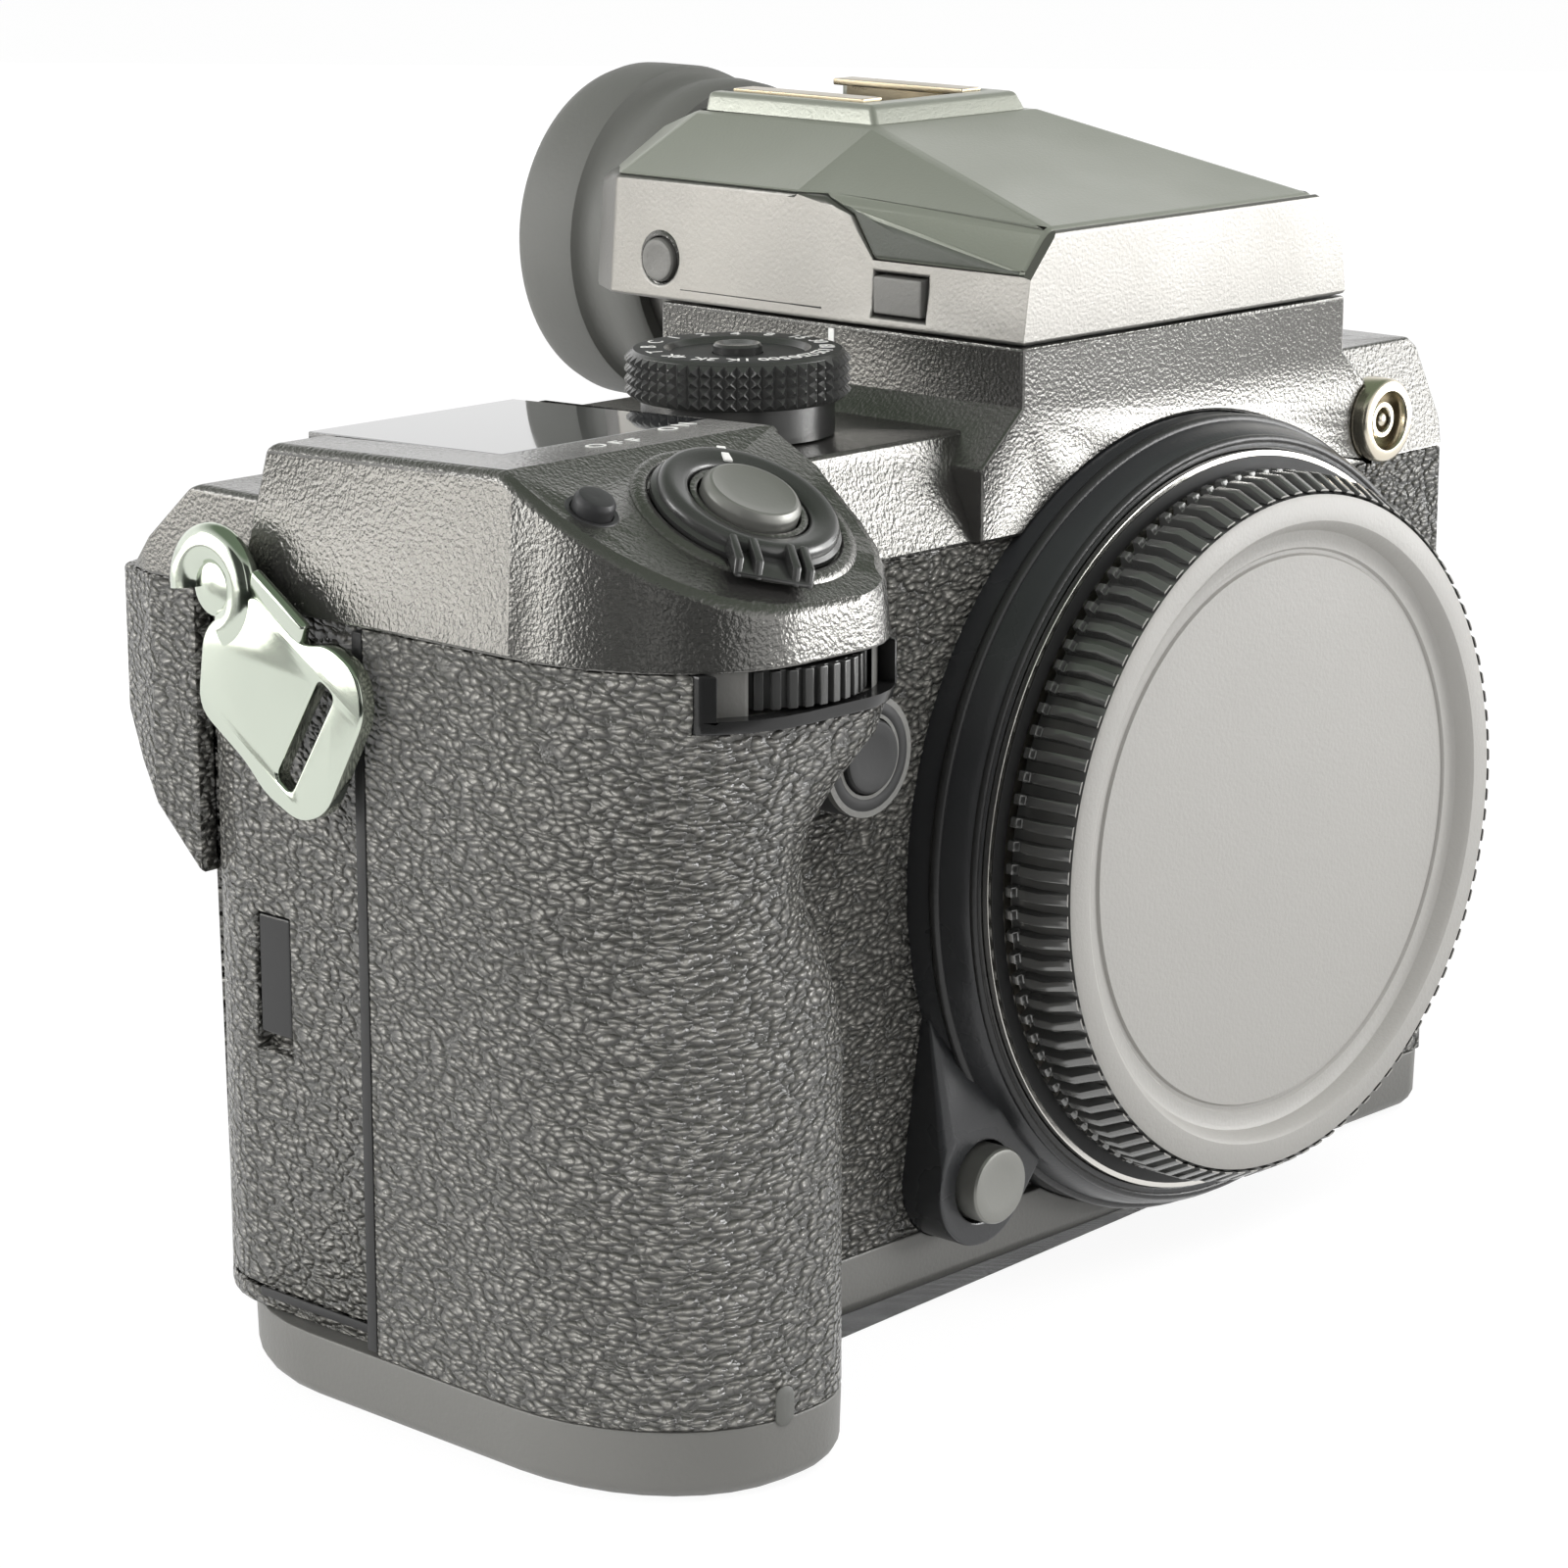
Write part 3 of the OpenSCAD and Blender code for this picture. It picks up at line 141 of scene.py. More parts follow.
floor_paint = bpy.data.materials.new("table_white")
floor_paint.use_nodes = True
tree = floor_paint.node_tree
nodes, links = tree.nodes, tree.links
floor_shader = nodes["Principled BSDF"]
floor_shader.inputs["Base Color"].default_value = (0.86, 0.86, 0.86, 1)
floor_shader.inputs["Roughness"].default_value = 0.7
floor_shader.inputs["Specular IOR Level"].default_value = 0.2
glow = nodes.new("ShaderNodeEmission")
glow.inputs["Strength"].default_value = FLOOR_GLOW
rays = nodes.new("ShaderNodeLightPath")
seen = math_node(tree, "MAXIMUM", rays.outputs["Is Camera Ray"], rays.outputs["Is Glossy Ray"])
blend_glow = nodes.new("ShaderNodeMixShader")
links.new(math_node(tree, "MULTIPLY", seen, GLOW_SHARE), blend_glow.inputs[0])
links.new(floor_shader.outputs[0], blend_glow.inputs[1])
links.new(glow.outputs[0], blend_glow.inputs[2])
links.new(blend_glow.outputs[0], nodes["Material Output"].inputs["Surface"])
floor.data.materials.append(floor_paint)
print("table top", floor.dimensions.x, "m across")

# %% World
HORIZON = (1, 1, 1, 1)
OVERHEAD = (0.16, 0.2, 0.15, 1)
LIGHT_LEVEL = 0.45
SEEN_LEVEL = 1.2

world = bpy.data.worlds.new("white_room")
bpy.context.scene.world = world
world.use_nodes = True
tree = world.node_tree
nodes, links = tree.nodes, tree.links
room = nodes["Background"]
sky = nodes.new("ShaderNodeTexCoord")
split = nodes.new("ShaderNodeSeparateXYZ")
links.new(sky.outputs["Generated"], split.inputs[0])
ramp = nodes.new("ShaderNodeValToRGB")
ramp.color_ramp.elements[0].position = 0.35
ramp.color_ramp.elements[0].color = HORIZON
ramp.color_ramp.elements[1].position = 0.75
ramp.color_ramp.elements[1].color = OVERHEAD
links.new(split.outputs["Z"], ramp.inputs["Fac"])
rays = nodes.new("ShaderNodeLightPath")
tint = nodes.new("ShaderNodeMix")
tint.data_type = "RGBA"
tint.inputs["A"].default_value = HORIZON
links.new(rays.outputs["Is Glossy Ray"], tint.inputs["Factor"])
links.new(ramp.outputs["Color"], tint.inputs["B"])
links.new(tint.outputs["Result"], room.inputs["Color"])
through = rays.outputs["Is Transmission Ray"]
seen = math_node(tree, "MAXIMUM", rays.outputs["Is Camera Ray"], through)
level = nodes.new("ShaderNodeMapRange")
level.inputs["To Min"].default_value = LIGHT_LEVEL
level.inputs["To Max"].default_value = SEEN_LEVEL
bright = math_node(tree, "MAXIMUM", seen, rays.outputs["Is Glossy Ray"])
links.new(bright, level.inputs["Value"])
links.new(level.outputs[0], room.inputs["Strength"])
print("world:", world.name)

# %% Soft lamps
# Place and size in metres, power in watts, and whether gloss mirrors the lamp.
LAMPS = {
    "front_right_box": ((0.95, -0.95, 0.14), 0.6, 9.0, True),
    "left_rear_box": ((-0.95, 0.8, 0.2), 0.7, 10.0, True),
    "left_box": ((-1.25, -0.1, 0.5), 0.6, 9.0, False),
    "right_rear_box": ((0.95, 0.8, 0.4), 0.9, 4.0, False),
    "top_box": ((0.3, -0.55, 1.0), 0.7, 7.0, False),
}
LAMP_TARGET = Vector((-0.02, 0.0, 0.05))
for name, (place, size, power, mirrored) in LAMPS.items():
    lamp_data = bpy.data.lights.new(name, "AREA")
    lamp_data.size = size
    lamp_data.energy = power
    lamp = bpy.data.objects.new(name, lamp_data)
    lamp.location = place
    aim = LAMP_TARGET - Vector(place)
    lamp.rotation_euler = aim.to_track_quat("-Z", "Y").to_euler()
    lamp.visible_camera = False
    lamp.visible_glossy = mirrored
    bpy.context.scene.collection.objects.link(lamp)
bpy.context.scene.view_settings.view_transform = "Standard"
print("lamps:", ", ".join(LAMPS))

# %% Cards, seen in reflections only
CARD_LIFT = 0.002


def reflected_card(name, size, turn, reach, rise, colour, strength, wall_share=1.0):
    """A card on the table, its far end bent up to a wall, that shows in gloss alone."""
    bpy.ops.object.select_all(action="DESELECT")
    bpy.ops.mesh.primitive_plane_add(size=size, location=(0, 0, 0))
    card = bpy.context.object
    card.name = name
    card.matrix_world = spun(turn, "Z") @ Matrix.Translation((0, -reach, CARD_LIFT))
    bpy.ops.object.transform_apply(location=True, rotation=True, scale=True)
    bpy.ops.object.mode_set(mode="EDIT")
    bpy.ops.mesh.select_mode(type="EDGE")
    mesh = bmesh.from_edit_mesh(card.data)
    far_edge = max(mesh.edges, key=lambda edge: sum((v.co for v in edge.verts), Vector()).length)
    bpy.ops.mesh.select_all(action="DESELECT")
    far_edge.select = True
    bmesh.update_edit_mesh(card.data)
    bpy.ops.mesh.extrude_edges_move(TRANSFORM_OT_translate={"value": (0, 0, rise)})
    bpy.ops.object.mode_set(mode="OBJECT")
    card.visible_camera = card.visible_diffuse = False
    card.visible_shadow = card.visible_transmission = False
    for part, share in ((name, 1.0), (name + "_wall", wall_share)):
        paint = bpy.data.materials.new(part)
        paint.use_nodes = True
        shader = paint.node_tree.nodes["Principled BSDF"]
        shader.inputs["Base Color"].default_value = (*colour, 1)
        shader.inputs["Emission Color"].default_value = (*colour, 1)
        shader.inputs["Emission Strength"].default_value = strength * share
        card.data.materials.append(paint)
    for face in card.data.polygons:
        face.material_index = int(face.center.z > 2 * CARD_LIFT)
    print(name, "at", reach, "m")


reflected_card("dark_card", 0.8, -38, 0.6, 0.8, (0.012, 0.014, 0.012), 0)
reflected_card("left_card", 0.9, -85, 0.72, 0.8, (0.014, 0.018, 0.014), 0)
reflected_card("right_card", 1.1, 62, 1.05, 0.8, (1, 1, 1), 4.3, wall_share=0.9)
reflected_card("rear_card", 0.7, -136, 0.85, 0.3, (1, 0.98, 0.94), 1.7)

# %% [markdown]
# ## Finishes
# A camera has few finishes, each used on many pieces: pebbled leather, wrinkled paint, smooth
# paint, bare steel, moulded plastic and rubber. What several finishes share is a node group: the
# pebbles of the leather, the fine stipple of paint and plastic, and the smudges that make gloss
# uneven.

# %% A helper for node groups
def new_group(name, numbers, outputs):
    """An empty node group with number inputs and outputs, and its two end nodes."""
    tree = bpy.data.node_groups.new(name, "ShaderNodeTree")
    for label, value in numbers.items():
        socket = tree.interface.new_socket(label, in_out="INPUT", socket_type="NodeSocketFloat")
        socket.default_value = value
    for label in outputs:
        tree.interface.new_socket(label, in_out="OUTPUT", socket_type="NodeSocketFloat")
    return tree, tree.nodes.new("NodeGroupInput"), tree.nodes.new("NodeGroupOutput")


# %% Pebbles of the leather
pebbles, feed, result = new_group("Leather pebbles", {"Cells per metre": 800}, ["Height", "Relief shade"])
nodes, links = pebbles.nodes, pebbles.links
coords = nodes.new("ShaderNodeTexCoord")
squash = nodes.new("ShaderNodeMapping")
squash.inputs["Scale"].default_value = (0.68, 0.68, 1.2)
links.new(coords.outputs["Object"], squash.inputs["Vector"])
stir = nodes.new("ShaderNodeTexNoise")
stir.inputs["Scale"].default_value = 420
stir.inputs["Detail"].default_value = 2
links.new(squash.outputs[0], stir.inputs["Vector"])
sway = nodes.new("ShaderNodeVectorMath")
sway.operation = "SCALE"
sway.inputs["Scale"].default_value = 0.0014
links.new(stir.outputs["Color"], sway.inputs[0])
warped = nodes.new("ShaderNodeVectorMath")
links.new(squash.outputs[0], warped.inputs[0])
links.new(sway.outputs[0], warped.inputs[1])
cells = nodes.new("ShaderNodeTexVoronoi")
cells.feature = "F1"
links.new(warped.outputs[0], cells.inputs["Vector"])
links.new(feed.outputs["Cells per metre"], cells.inputs["Scale"])
dome = nodes.new("ShaderNodeMapRange")
dome.interpolation_type = "SMOOTHSTEP"
dome.inputs["From Min"].default_value = 0.85
dome.inputs["From Max"].default_value = 0.15
links.new(cells.outputs["Distance"], dome.inputs["Value"])
swell = nodes.new("ShaderNodeTexNoise")
swell.inputs["Scale"].default_value = 2600
swell.inputs["Detail"].default_value = 2
links.new(coords.outputs["Object"], swell.inputs["Vector"])
ripple = math_node(pebbles, "MULTIPLY", swell.outputs["Fac"], 0.25)
height = math_node(pebbles, "ADD", dome.outputs[0], ripple)
links.new(height, result.inputs["Height"])
# The domes also give the tone: painted shade, dark in the valleys between the pebbles and light on
# their tops.
links.new(dome.outputs[0], result.inputs["Relief shade"])
print("group:", pebbles.name)

# %% Stipple of paint and plastic
stipple, feed, result = new_group("Fine stipple", {"Grains per metre": 2200}, ["Height"])
coords = stipple.nodes.new("ShaderNodeTexCoord")
grains = stipple.nodes.new("ShaderNodeTexNoise")
grains.inputs["Detail"].default_value = 2
stipple.links.new(coords.outputs["Object"], grains.inputs["Vector"])
stipple.links.new(feed.outputs["Grains per metre"], grains.inputs["Scale"])
stipple.links.new(grains.outputs["Fac"], result.inputs["Height"])
print("group:", stipple.name)

# %% Smudges
smudge, feed, result = new_group("Smudge", {"Low": 0.3, "High": 0.5}, ["Value"])
coords = smudge.nodes.new("ShaderNodeTexCoord")
cloud = smudge.nodes.new("ShaderNodeTexNoise")
cloud.inputs["Scale"].default_value = 70
cloud.inputs["Detail"].default_value = 4
smudge.links.new(coords.outputs["Object"], cloud.inputs["Vector"])
spread = smudge.nodes.new("ShaderNodeMapRange")
spread.inputs["From Min"].default_value = 0.3
spread.inputs["From Max"].default_value = 0.7
smudge.links.new(cloud.outputs["Fac"], spread.inputs["Value"])
smudge.links.new(feed.outputs["Low"], spread.inputs["To Min"])
smudge.links.new(feed.outputs["High"], spread.inputs["To Max"])
smudge.links.new(spread.outputs[0], result.inputs["Value"])
print("group:", smudge.name)

# %% Helpers for finishes
def place_group(finish, tree, **values):
    """Puts a node group into a finish, with its own values."""
    node = finish.node_tree.nodes.new("ShaderNodeGroup")
    node.node_tree = tree
    for label, value in values.items():
        node.inputs[label.replace("_", " ")].default_value = value
    return node


def make_finish(name, colour, rough, metal=0.0):
    """A finish with one colour, and smudged gloss between two values of roughness."""
    finish = bpy.data.materials.new(name)
    finish.use_nodes = True
    shader = finish.node_tree.nodes["Principled BSDF"]
    shader.inputs["Base Color"].default_value = (*colour, 1)
    shader.inputs["Metallic"].default_value = metal
    gloss = place_group(finish, smudge, Low=rough[0], High=rough[1])
    finish.node_tree.links.new(gloss.outputs["Value"], shader.inputs["Roughness"])
    return finish, shader


def add_relief(finish, shader, height, depth):
    """Lets a height stand out of the surface, depth millimetres at most."""
    relief = finish.node_tree.nodes.new("ShaderNodeBump")
    relief.inputs["Distance"].default_value = depth * MM
    finish.node_tree.links.new(height, relief.inputs["Height"])
    finish.node_tree.links.new(relief.outputs["Normal"], shader.inputs["Normal"])


def stippled(name, colour, rough, grains, depth, metal=0.0):
    """A finish with a fine grain, such as paint, plastic or rubber."""
    finish, shader = make_finish(name, colour, rough, metal)
    grain = place_group(finish, stipple, Grains_per_metre=grains)
    add_relief(finish, shader, grain.outputs["Height"], depth)
    return finish


finishes = {}
print("helpers ready")

# %% Leather
# The first colour is painted shade in the valleys between the pebbles; the second colours the
# pebble tops.
VALLEY_SHADE = (0.055, 0.054, 0.049)
PEBBLE = (0.28, 0.272, 0.248)
PEBBLES_PER_METRE = 1350
PEBBLE_HEIGHT = 1.2

leather, shader = make_finish("leatherette", PEBBLE, (0.15, 0.23))
shader.inputs["Specular IOR Level"].default_value = 0.8
grain = place_group(leather, pebbles, Cells_per_metre=PEBBLES_PER_METRE)
add_relief(leather, shader, grain.outputs["Height"], PEBBLE_HEIGHT)
# The grain is real, but the valleys are painted darker and the pebble tops lighter: painted shade
# of the relief, on top of its bump.
relief_shade = leather.node_tree.nodes.new("ShaderNodeMix")
relief_shade.data_type = "RGBA"
relief_shade.inputs["A"].default_value = (*VALLEY_SHADE, 1)
relief_shade.inputs["B"].default_value = (*PEBBLE, 1)
leather.node_tree.links.new(grain.outputs["Relief shade"], relief_shade.inputs["Factor"])
leather.node_tree.links.new(relief_shade.outputs["Result"], shader.inputs["Base Color"])
finishes["leatherette"] = leather
print("leather:", PEBBLES_PER_METRE, "pebbles per metre")

# %% Paints
def add_finishes(rows):
    """Adds stippled finishes: colour, roughness, grains per metre, their depth, share of metal."""
    for name, row in rows.items():
        finishes[name] = stippled(name, *row)
    print("finishes:", ", ".join(rows))


add_finishes({
    "satin_paint": ((0.17, 0.167, 0.158), (0.17, 0.24), 2500, 0.1, 0.85),
    "finder_paint": ((0.2, 0.195, 0.182), (0.32, 0.4), 2600, 0.03, 0.85),
    "roof_paint": ((0.33, 0.34, 0.295), (0.34, 0.42), 3000, 0.03, 0.6),
    # A darker, rougher copy of the roof paint: painted shade on the roof's steep sides.
    "roof_painted_shade": ((0.05, 0.056, 0.044), (0.45, 0.55), 3000, 0.03),
    "cover_paint": ((0.15, 0.148, 0.138), (0.42, 0.52), 2200, 0.04, 0.2),
    "bead_paint": ((0.03, 0.03, 0.03), (0.28, 0.36), 2200, 0.04, 0.3),
    "collar_paint": ((0.03, 0.031, 0.033), (0.26, 0.34), 2600, 0.02),
})

# %% Metals
add_finishes({
    "bright_steel": ((0.72, 0.7, 0.66), (0.18, 0.26), 1800, 0.004, 1.0),
    "pale_brass": ((0.74, 0.68, 0.56), (0.2, 0.3), 1500, 0.004, 1.0),
    "shoe_steel": ((0.36, 0.31, 0.22), (0.24, 0.34), 1500, 0.006, 1.0),
    # The nickel's green tint is a painted reflection.
    "nickel": ((0.62, 0.67, 0.58), (0.08, 0.16), 900, 0.004, 1.0),
    "black_metal": ((0.1, 0.1, 0.098), (0.2, 0.28), 2600, 0.006, 0.7),
    "dark_metal": ((0.16, 0.16, 0.155), (0.28, 0.36), 2400, 0.01, 0.7),
    "contact_gold": ((0.75, 0.56, 0.25), (0.2, 0.3), 1500, 0.004, 1.0),
})

# %% Plastics, rubber and ink
add_finishes({
    "black_plastic": ((0.028, 0.028, 0.029), (0.4, 0.5), 2600, 0.015),
    "cap_plastic": ((0.35, 0.34, 0.32), (0.42, 0.52), 2300, 0.04),
    "rib_plastic": ((0.2, 0.2, 0.195), (0.14, 0.22), 2300, 0.004, 0.7),
    "gloss_black": ((0.014, 0.014, 0.014), (0.16, 0.24), 2600, 0.004),
    # A light grey with some metal for dark buttons: partly a painted reflection.
    "button_grey_sheen": ((0.24, 0.24, 0.222), (0.34, 0.44), 2600, 0.008, 0.6),
    "matte_black": ((0.02, 0.02, 0.02), (0.55, 0.65), 2600, 0.01),
    "rubber": ((0.11, 0.111, 0.102), (0.5, 0.62), 1800, 0.03),
    "board_green": ((0.02, 0.16, 0.07), (0.4, 0.5), 900, 0.03),
    "white_ink": ((0.78, 0.78, 0.75), (0.45, 0.55), 2600, 0.004),
})

# %% Glass
finishes["dark_glass"], shader = make_finish("dark_glass", (0.012, 0.014, 0.016), (0.03, 0.06))
shader.inputs["Coat Weight"].default_value = 0.6
shader.inputs["Coat Roughness"].default_value = 0.03
add_finishes({"sensor_face": ((0.05, 0.07, 0.13), (0.1, 0.16), 800, 0.002)})
print("finishes:", len(finishes))

# %% Every solid gets the finish of its slot
for node, solid in frame["nodes"].items():
    solid.data.materials.clear()
    solid.data.materials.append(finishes[slot_of[node]])
print("solids painted:", len(frame["nodes"]))

# %% [markdown]
# ## Tools of the bench
# Most pieces start as a primitive and are shaped in edit mode. Two jobs come back all the time:
# turning a ring of points into a lathe-like form, and taking a copy of a solid to round its edges.
# Each gets a short helper, so that the cells below can stay about the camera.

# %% Selecting, editing and placing
def only(piece):
    """Leaves this piece alone selected and active."""
    bpy.ops.object.select_all(action="DESELECT")
    piece.select_set(True)
    bpy.context.view_layer.objects.active = piece


@contextmanager
def editing(piece):
    """Edit mode on one piece, with everything selected, and back again."""
    only(piece)
    bpy.ops.object.mode_set(mode="EDIT")
    bpy.ops.mesh.select_mode(type="VERT")
    bpy.ops.mesh.select_all(action="SELECT")
    yield bmesh.from_edit_mesh(piece.data)
    bpy.ops.object.mode_set(mode="OBJECT")


def shift(x, y, z):
    """A move in millimetres."""
    return Matrix.Translation((x * MM, y * MM, z * MM))


def move_into_place(piece, matrix):
    """Moves a piece that was made at the origin, and keeps its place in its mesh."""
    only(piece)
    piece.matrix_world = matrix
    bpy.ops.object.transform_apply(location=True, rotation=True, scale=True)


def join(name, pieces):
    """Several meshes as one piece."""
    only(pieces[0])
    for piece in pieces[1:]:
        piece.select_set(True)
    bpy.ops.object.join()
    pieces[0].name = name
    return pieces[0]


def smooth(piece, angle=35):
    """Smooth shading, except over edges sharper than an angle."""
    only(piece)
    bpy.ops.object.shade_smooth_by_angle(angle=math.radians(angle))


def settle(piece, finish, body, slot, *nodes):
    """Gives a finished piece its finish, its body and the solids that it stands for."""
    piece.data.materials.clear()
    piece.data.materials.append(finishes[finish])
    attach(piece, body)
    if nodes:
        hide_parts(*nodes)
    print(piece.name, len(piece.data.polygons), "faces on", body)


def stand_for(piece, node, finish=None):
    """The same for a piece that takes the place of one solid."""
    settle(piece, finish or slot_of[node], body_of[node], slot_of[node], node)


# %% Turning and rounding
def soften(piece, width, segments=3, angle=35):
    """Rounds every edge sharper than an angle."""
    only(piece)
    bevel = piece.modifiers.new("soft_edges", "BEVEL")
    bevel.width = width * MM
    bevel.segments = segments
    bevel.limit_method = "ANGLE"
    bevel.angle_limit = math.radians(angle)
    bpy.ops.object.modifier_apply(modifier=bevel.name)


def turned(name, profile, steps=72):
    """A piece turned about Z, from pairs of radius and height in millimetres."""
    bpy.ops.object.select_all(action="DESELECT")
    radius, height = profile[0]
    bpy.ops.mesh.primitive_circle_add(vertices=steps, radius=radius * MM, location=(0, 0, 0))
    piece = bpy.context.object
    piece.name = name
    with editing(piece):
        bpy.ops.transform.translate(value=(0, 0, height * MM))
        for next_radius, next_height in profile[1:]:
            lift = (0, 0, (next_height - height) * MM)
            bpy.ops.mesh.extrude_edges_move(TRANSFORM_OT_translate={"value": lift})
            grow = next_radius / radius
            bpy.ops.transform.resize(value=(grow, grow, 1), center_override=(0, 0, 0))
            radius, height = next_radius, next_height
        bpy.ops.mesh.select_all(action="SELECT")
        bpy.ops.mesh.remove_doubles(threshold=0.002 * MM)
        bpy.ops.mesh.fill_holes(sides=0)
        bpy.ops.mesh.normals_make_consistent(inside=False)
    return piece


def block(name, low, high):
    """A cube between two corners, in millimetres, at the origin's frame."""
    low, high = Vector(low), Vector(high)
    bpy.ops.object.select_all(action="DESELECT")
    bpy.ops.mesh.primitive_cube_add(size=1, location=(0, 0, 0))
    piece = bpy.context.object
    piece.name = name
    size = (high - low) * MM
    move_into_place(piece, Matrix.Translation((low + high) / 2 * MM) @ Matrix.Diagonal((*size, 1)))
    return piece


def copy_solid(node):
    """A copy of a solid, merged, with its flat faces whole again."""
    piece = bpy.data.objects.new(node + "_skin", frame["nodes"][node].data.copy())
    bpy.context.scene.collection.objects.link(piece)
    only(piece)
    bpy.ops.mesh.customdata_custom_splitnormals_clear()
    with editing(piece):
        bpy.ops.mesh.remove_doubles(threshold=0.003 * MM)
        bpy.ops.mesh.dissolve_degenerate(threshold=0.01 * MM)
        bpy.ops.mesh.dissolve_limited(angle_limit=math.radians(0.3))
    return piece


def round_edges(piece, width, segments=3, sharp=28, where=None):
    """Rounds the outward edges of a copy, or only those that a test picks."""
    with editing(piece) as mesh:
        bpy.ops.mesh.select_mode(type="EDGE")
        bpy.ops.mesh.select_all(action="DESELECT")
        for edge in mesh.edges:
            if len(edge.link_faces) == 2 and edge.is_convex:
                crisp = edge.calc_face_angle() > math.radians(sharp)
                narrow = min(face.calc_area() for face in edge.link_faces)
                room = narrow > edge.calc_length() * width * MM
                edge.select = crisp and room and (where is None or where(edge))
        bmesh.update_edit_mesh(piece.data)
        bpy.ops.mesh.bevel(
            offset=width * MM, segments=segments, affect="EDGES", clamp_overlap=False)


def even_shading(piece, angle=35, flat=math.inf):
    """Smooth shading led by the large faces, and none on faces over so many square millimetres."""
    smooth(piece, angle)
    weights = piece.modifiers.new("flat_faces", "WEIGHTED_NORMAL")
    weights.keep_sharp = True
    bpy.ops.object.modifier_apply(modifier=weights.name)
    for face in piece.data.polygons:
        face.use_smooth = face.area < flat * MM * MM


def rounded_copy(node, width, finish=None, segments=2, sharp=28, where=None, flat=math.inf):
    """A copy of a solid with its edges rounded, in the solid's place."""
    piece = copy_solid(node)
    round_edges(piece, width, segments, sharp, where)
    even_shading(piece, 35, flat)
    stand_for(piece, node, finish)
    return piece


print("bench ready")

# %% [markdown]
# ## Covers
# The covers are castings: their planes are flat, but no edge on them is sharp. Copies of the solids
# keep the planes, and a bevel of half a millimetre catches the light along every edge. The top
# cover's main edges, round the shutter platform and the display, are softer still.

# %% Top cover
TILT = math.radians(26)
PLATEAU_TILT = math.radians(2)
platform_up = Vector((0, -math.sin(TILT), math.cos(TILT)))
plateau_up = Vector((0, math.sin(PLATEAU_TILT), math.cos(PLATEAU_TILT)))
grip_end = at(-62, 0, 0).x
lug_y = sum(corner.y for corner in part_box("strap_lugs")) / 2


def edge_middle(edge):
    """The point halfway along an edge."""
    return (edge.verts[0].co + edge.verts[1].co) / 2


def on_the_grip(edge):
    """Edges where the platform or the plateau over the grip meets its sides."""
    ups = [max(f.normal.dot(platform_up), f.normal.dot(plateau_up)) for f in edge.link_faces]
    rim = max(ups) > 0.999 and min(ups) < 0.9
    return rim and edge_middle(edge).x < grip_end and edge.calc_length() > 1.0 * MM


def off_the_lug(edge):
    """Leaves out the small arc round the strap lug, which is too tight to round."""
    middle = edge_middle(edge)
    aside = abs(middle.x) < at(96.2, 0, 0).x or abs(middle.y - lug_y) > 3 * MM
    return aside or middle.z > at(0, 0, 80).z


top = copy_solid("top_cover")
round_edges(top, 0.9, 4, 15, on_the_grip)
round_edges(top, 0.35, 2, 28, off_the_lug)
even_shading(top, 30, 200)
stand_for(top, "top_cover")

# %% Viewfinder housing and roof
roof_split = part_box("finder_roof")[0].z


def off_the_split(edge):
    """Leaves out the thin corner where the front wall passes the end of the roof's split line."""
    front = at(0, 9, 0).y
    return not any(abs(v.co.z - roof_split) < 1.2 * MM and v.co.y < front for v in edge.verts)


rounded_copy("finder_housing", 0.45, "finder_paint", where=off_the_split)
roof = rounded_copy("finder_roof", 0.6, segments=3, sharp=15, flat=40)
# The steep sides of the roof, below its top, take the darker copy of the paint: painted shade.
roof.data.materials.append(finishes["roof_painted_shade"])
shade_top = at(0, 0, 107).z
for face in roof.data.polygons:
    face.material_index = int(abs(face.normal.x) > 0.85 and face.center.z < shade_top)

# %% Rear, side, base and trims
thumb_edge = at(-60, 0, 0).x
rear = copy_solid("rear_cover")
round_edges(rear, 0.5, 2)
with editing(rear):
    bpy.ops.mesh.bisect(plane_co=(thumb_edge, 0, 0), plane_no=(1, 0, 0))
even_shading(rear)
stand_for(rear, "rear_cover")
rear.data.materials.append(finishes["leatherette"])
for face in rear.data.polygons:
    face.material_index = int(face.center.x < thumb_edge)
rounded_copy("side_cover", 0.4)
rounded_copy("base_plate", 0.3)
rounded_copy("mount_collar", 0.4)
rounded_copy("dial_trim", 0.25, "gloss_black")
rounded_copy("hot_shoe", 0.15, "shoe_steel")

# %% [markdown]
# ## Leather
# The leather is a thin skin glued on the grip, the front and the card door. Its form comes from the
# solids, and its pebbles from the finish. Only its rims are rounded a little, as cut leather is.

# %% Leather skins
for node in ("grip_leather", "front_leather", "card_door"):
    rounded_copy(node, 0.25)

# %% [markdown]
# ## Body cap
# The cap has a sunk disc with a fine groove, a flat rim and a hundred grip ribs. A lathe form gives
# the disc and the rim. One rib is modelled from a cube: a bisect gives it a shoulder, its outer end
# is drawn in to the rim, and the spin operator repeats it round the axis.

# %% Cap shell
cap_low, cap_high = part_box("body_cap")
cap_r = (cap_high.x - cap_low.x) / 2 / MM
cap_front = (flange_y - cap_low.y) / MM
DISC_DEPTH = 1.8
RIB_HEIGHT = 1.15
disc_h = cap_front - DISC_DEPTH
root_r = cap_r - RIB_HEIGHT
cap = turned("cap_shell", [
    (0.5, disc_h), (28.35, disc_h), (28.55, disc_h - 0.3), (28.95, disc_h - 0.3), (29.2, disc_h),
    (30.5, disc_h), (30.95, disc_h + 0.25), (31.6, cap_front - 0.35), (32.1, cap_front),
    (34.4, cap_front), (34.75, cap_front - 0.2), (root_r, cap_front - 3), (root_r, 0.5),
    (30.2, 0.5), (30.2, -3.3), (28.7, -3.3), (28.7, 3.9), (0.5, 3.9)], 180)
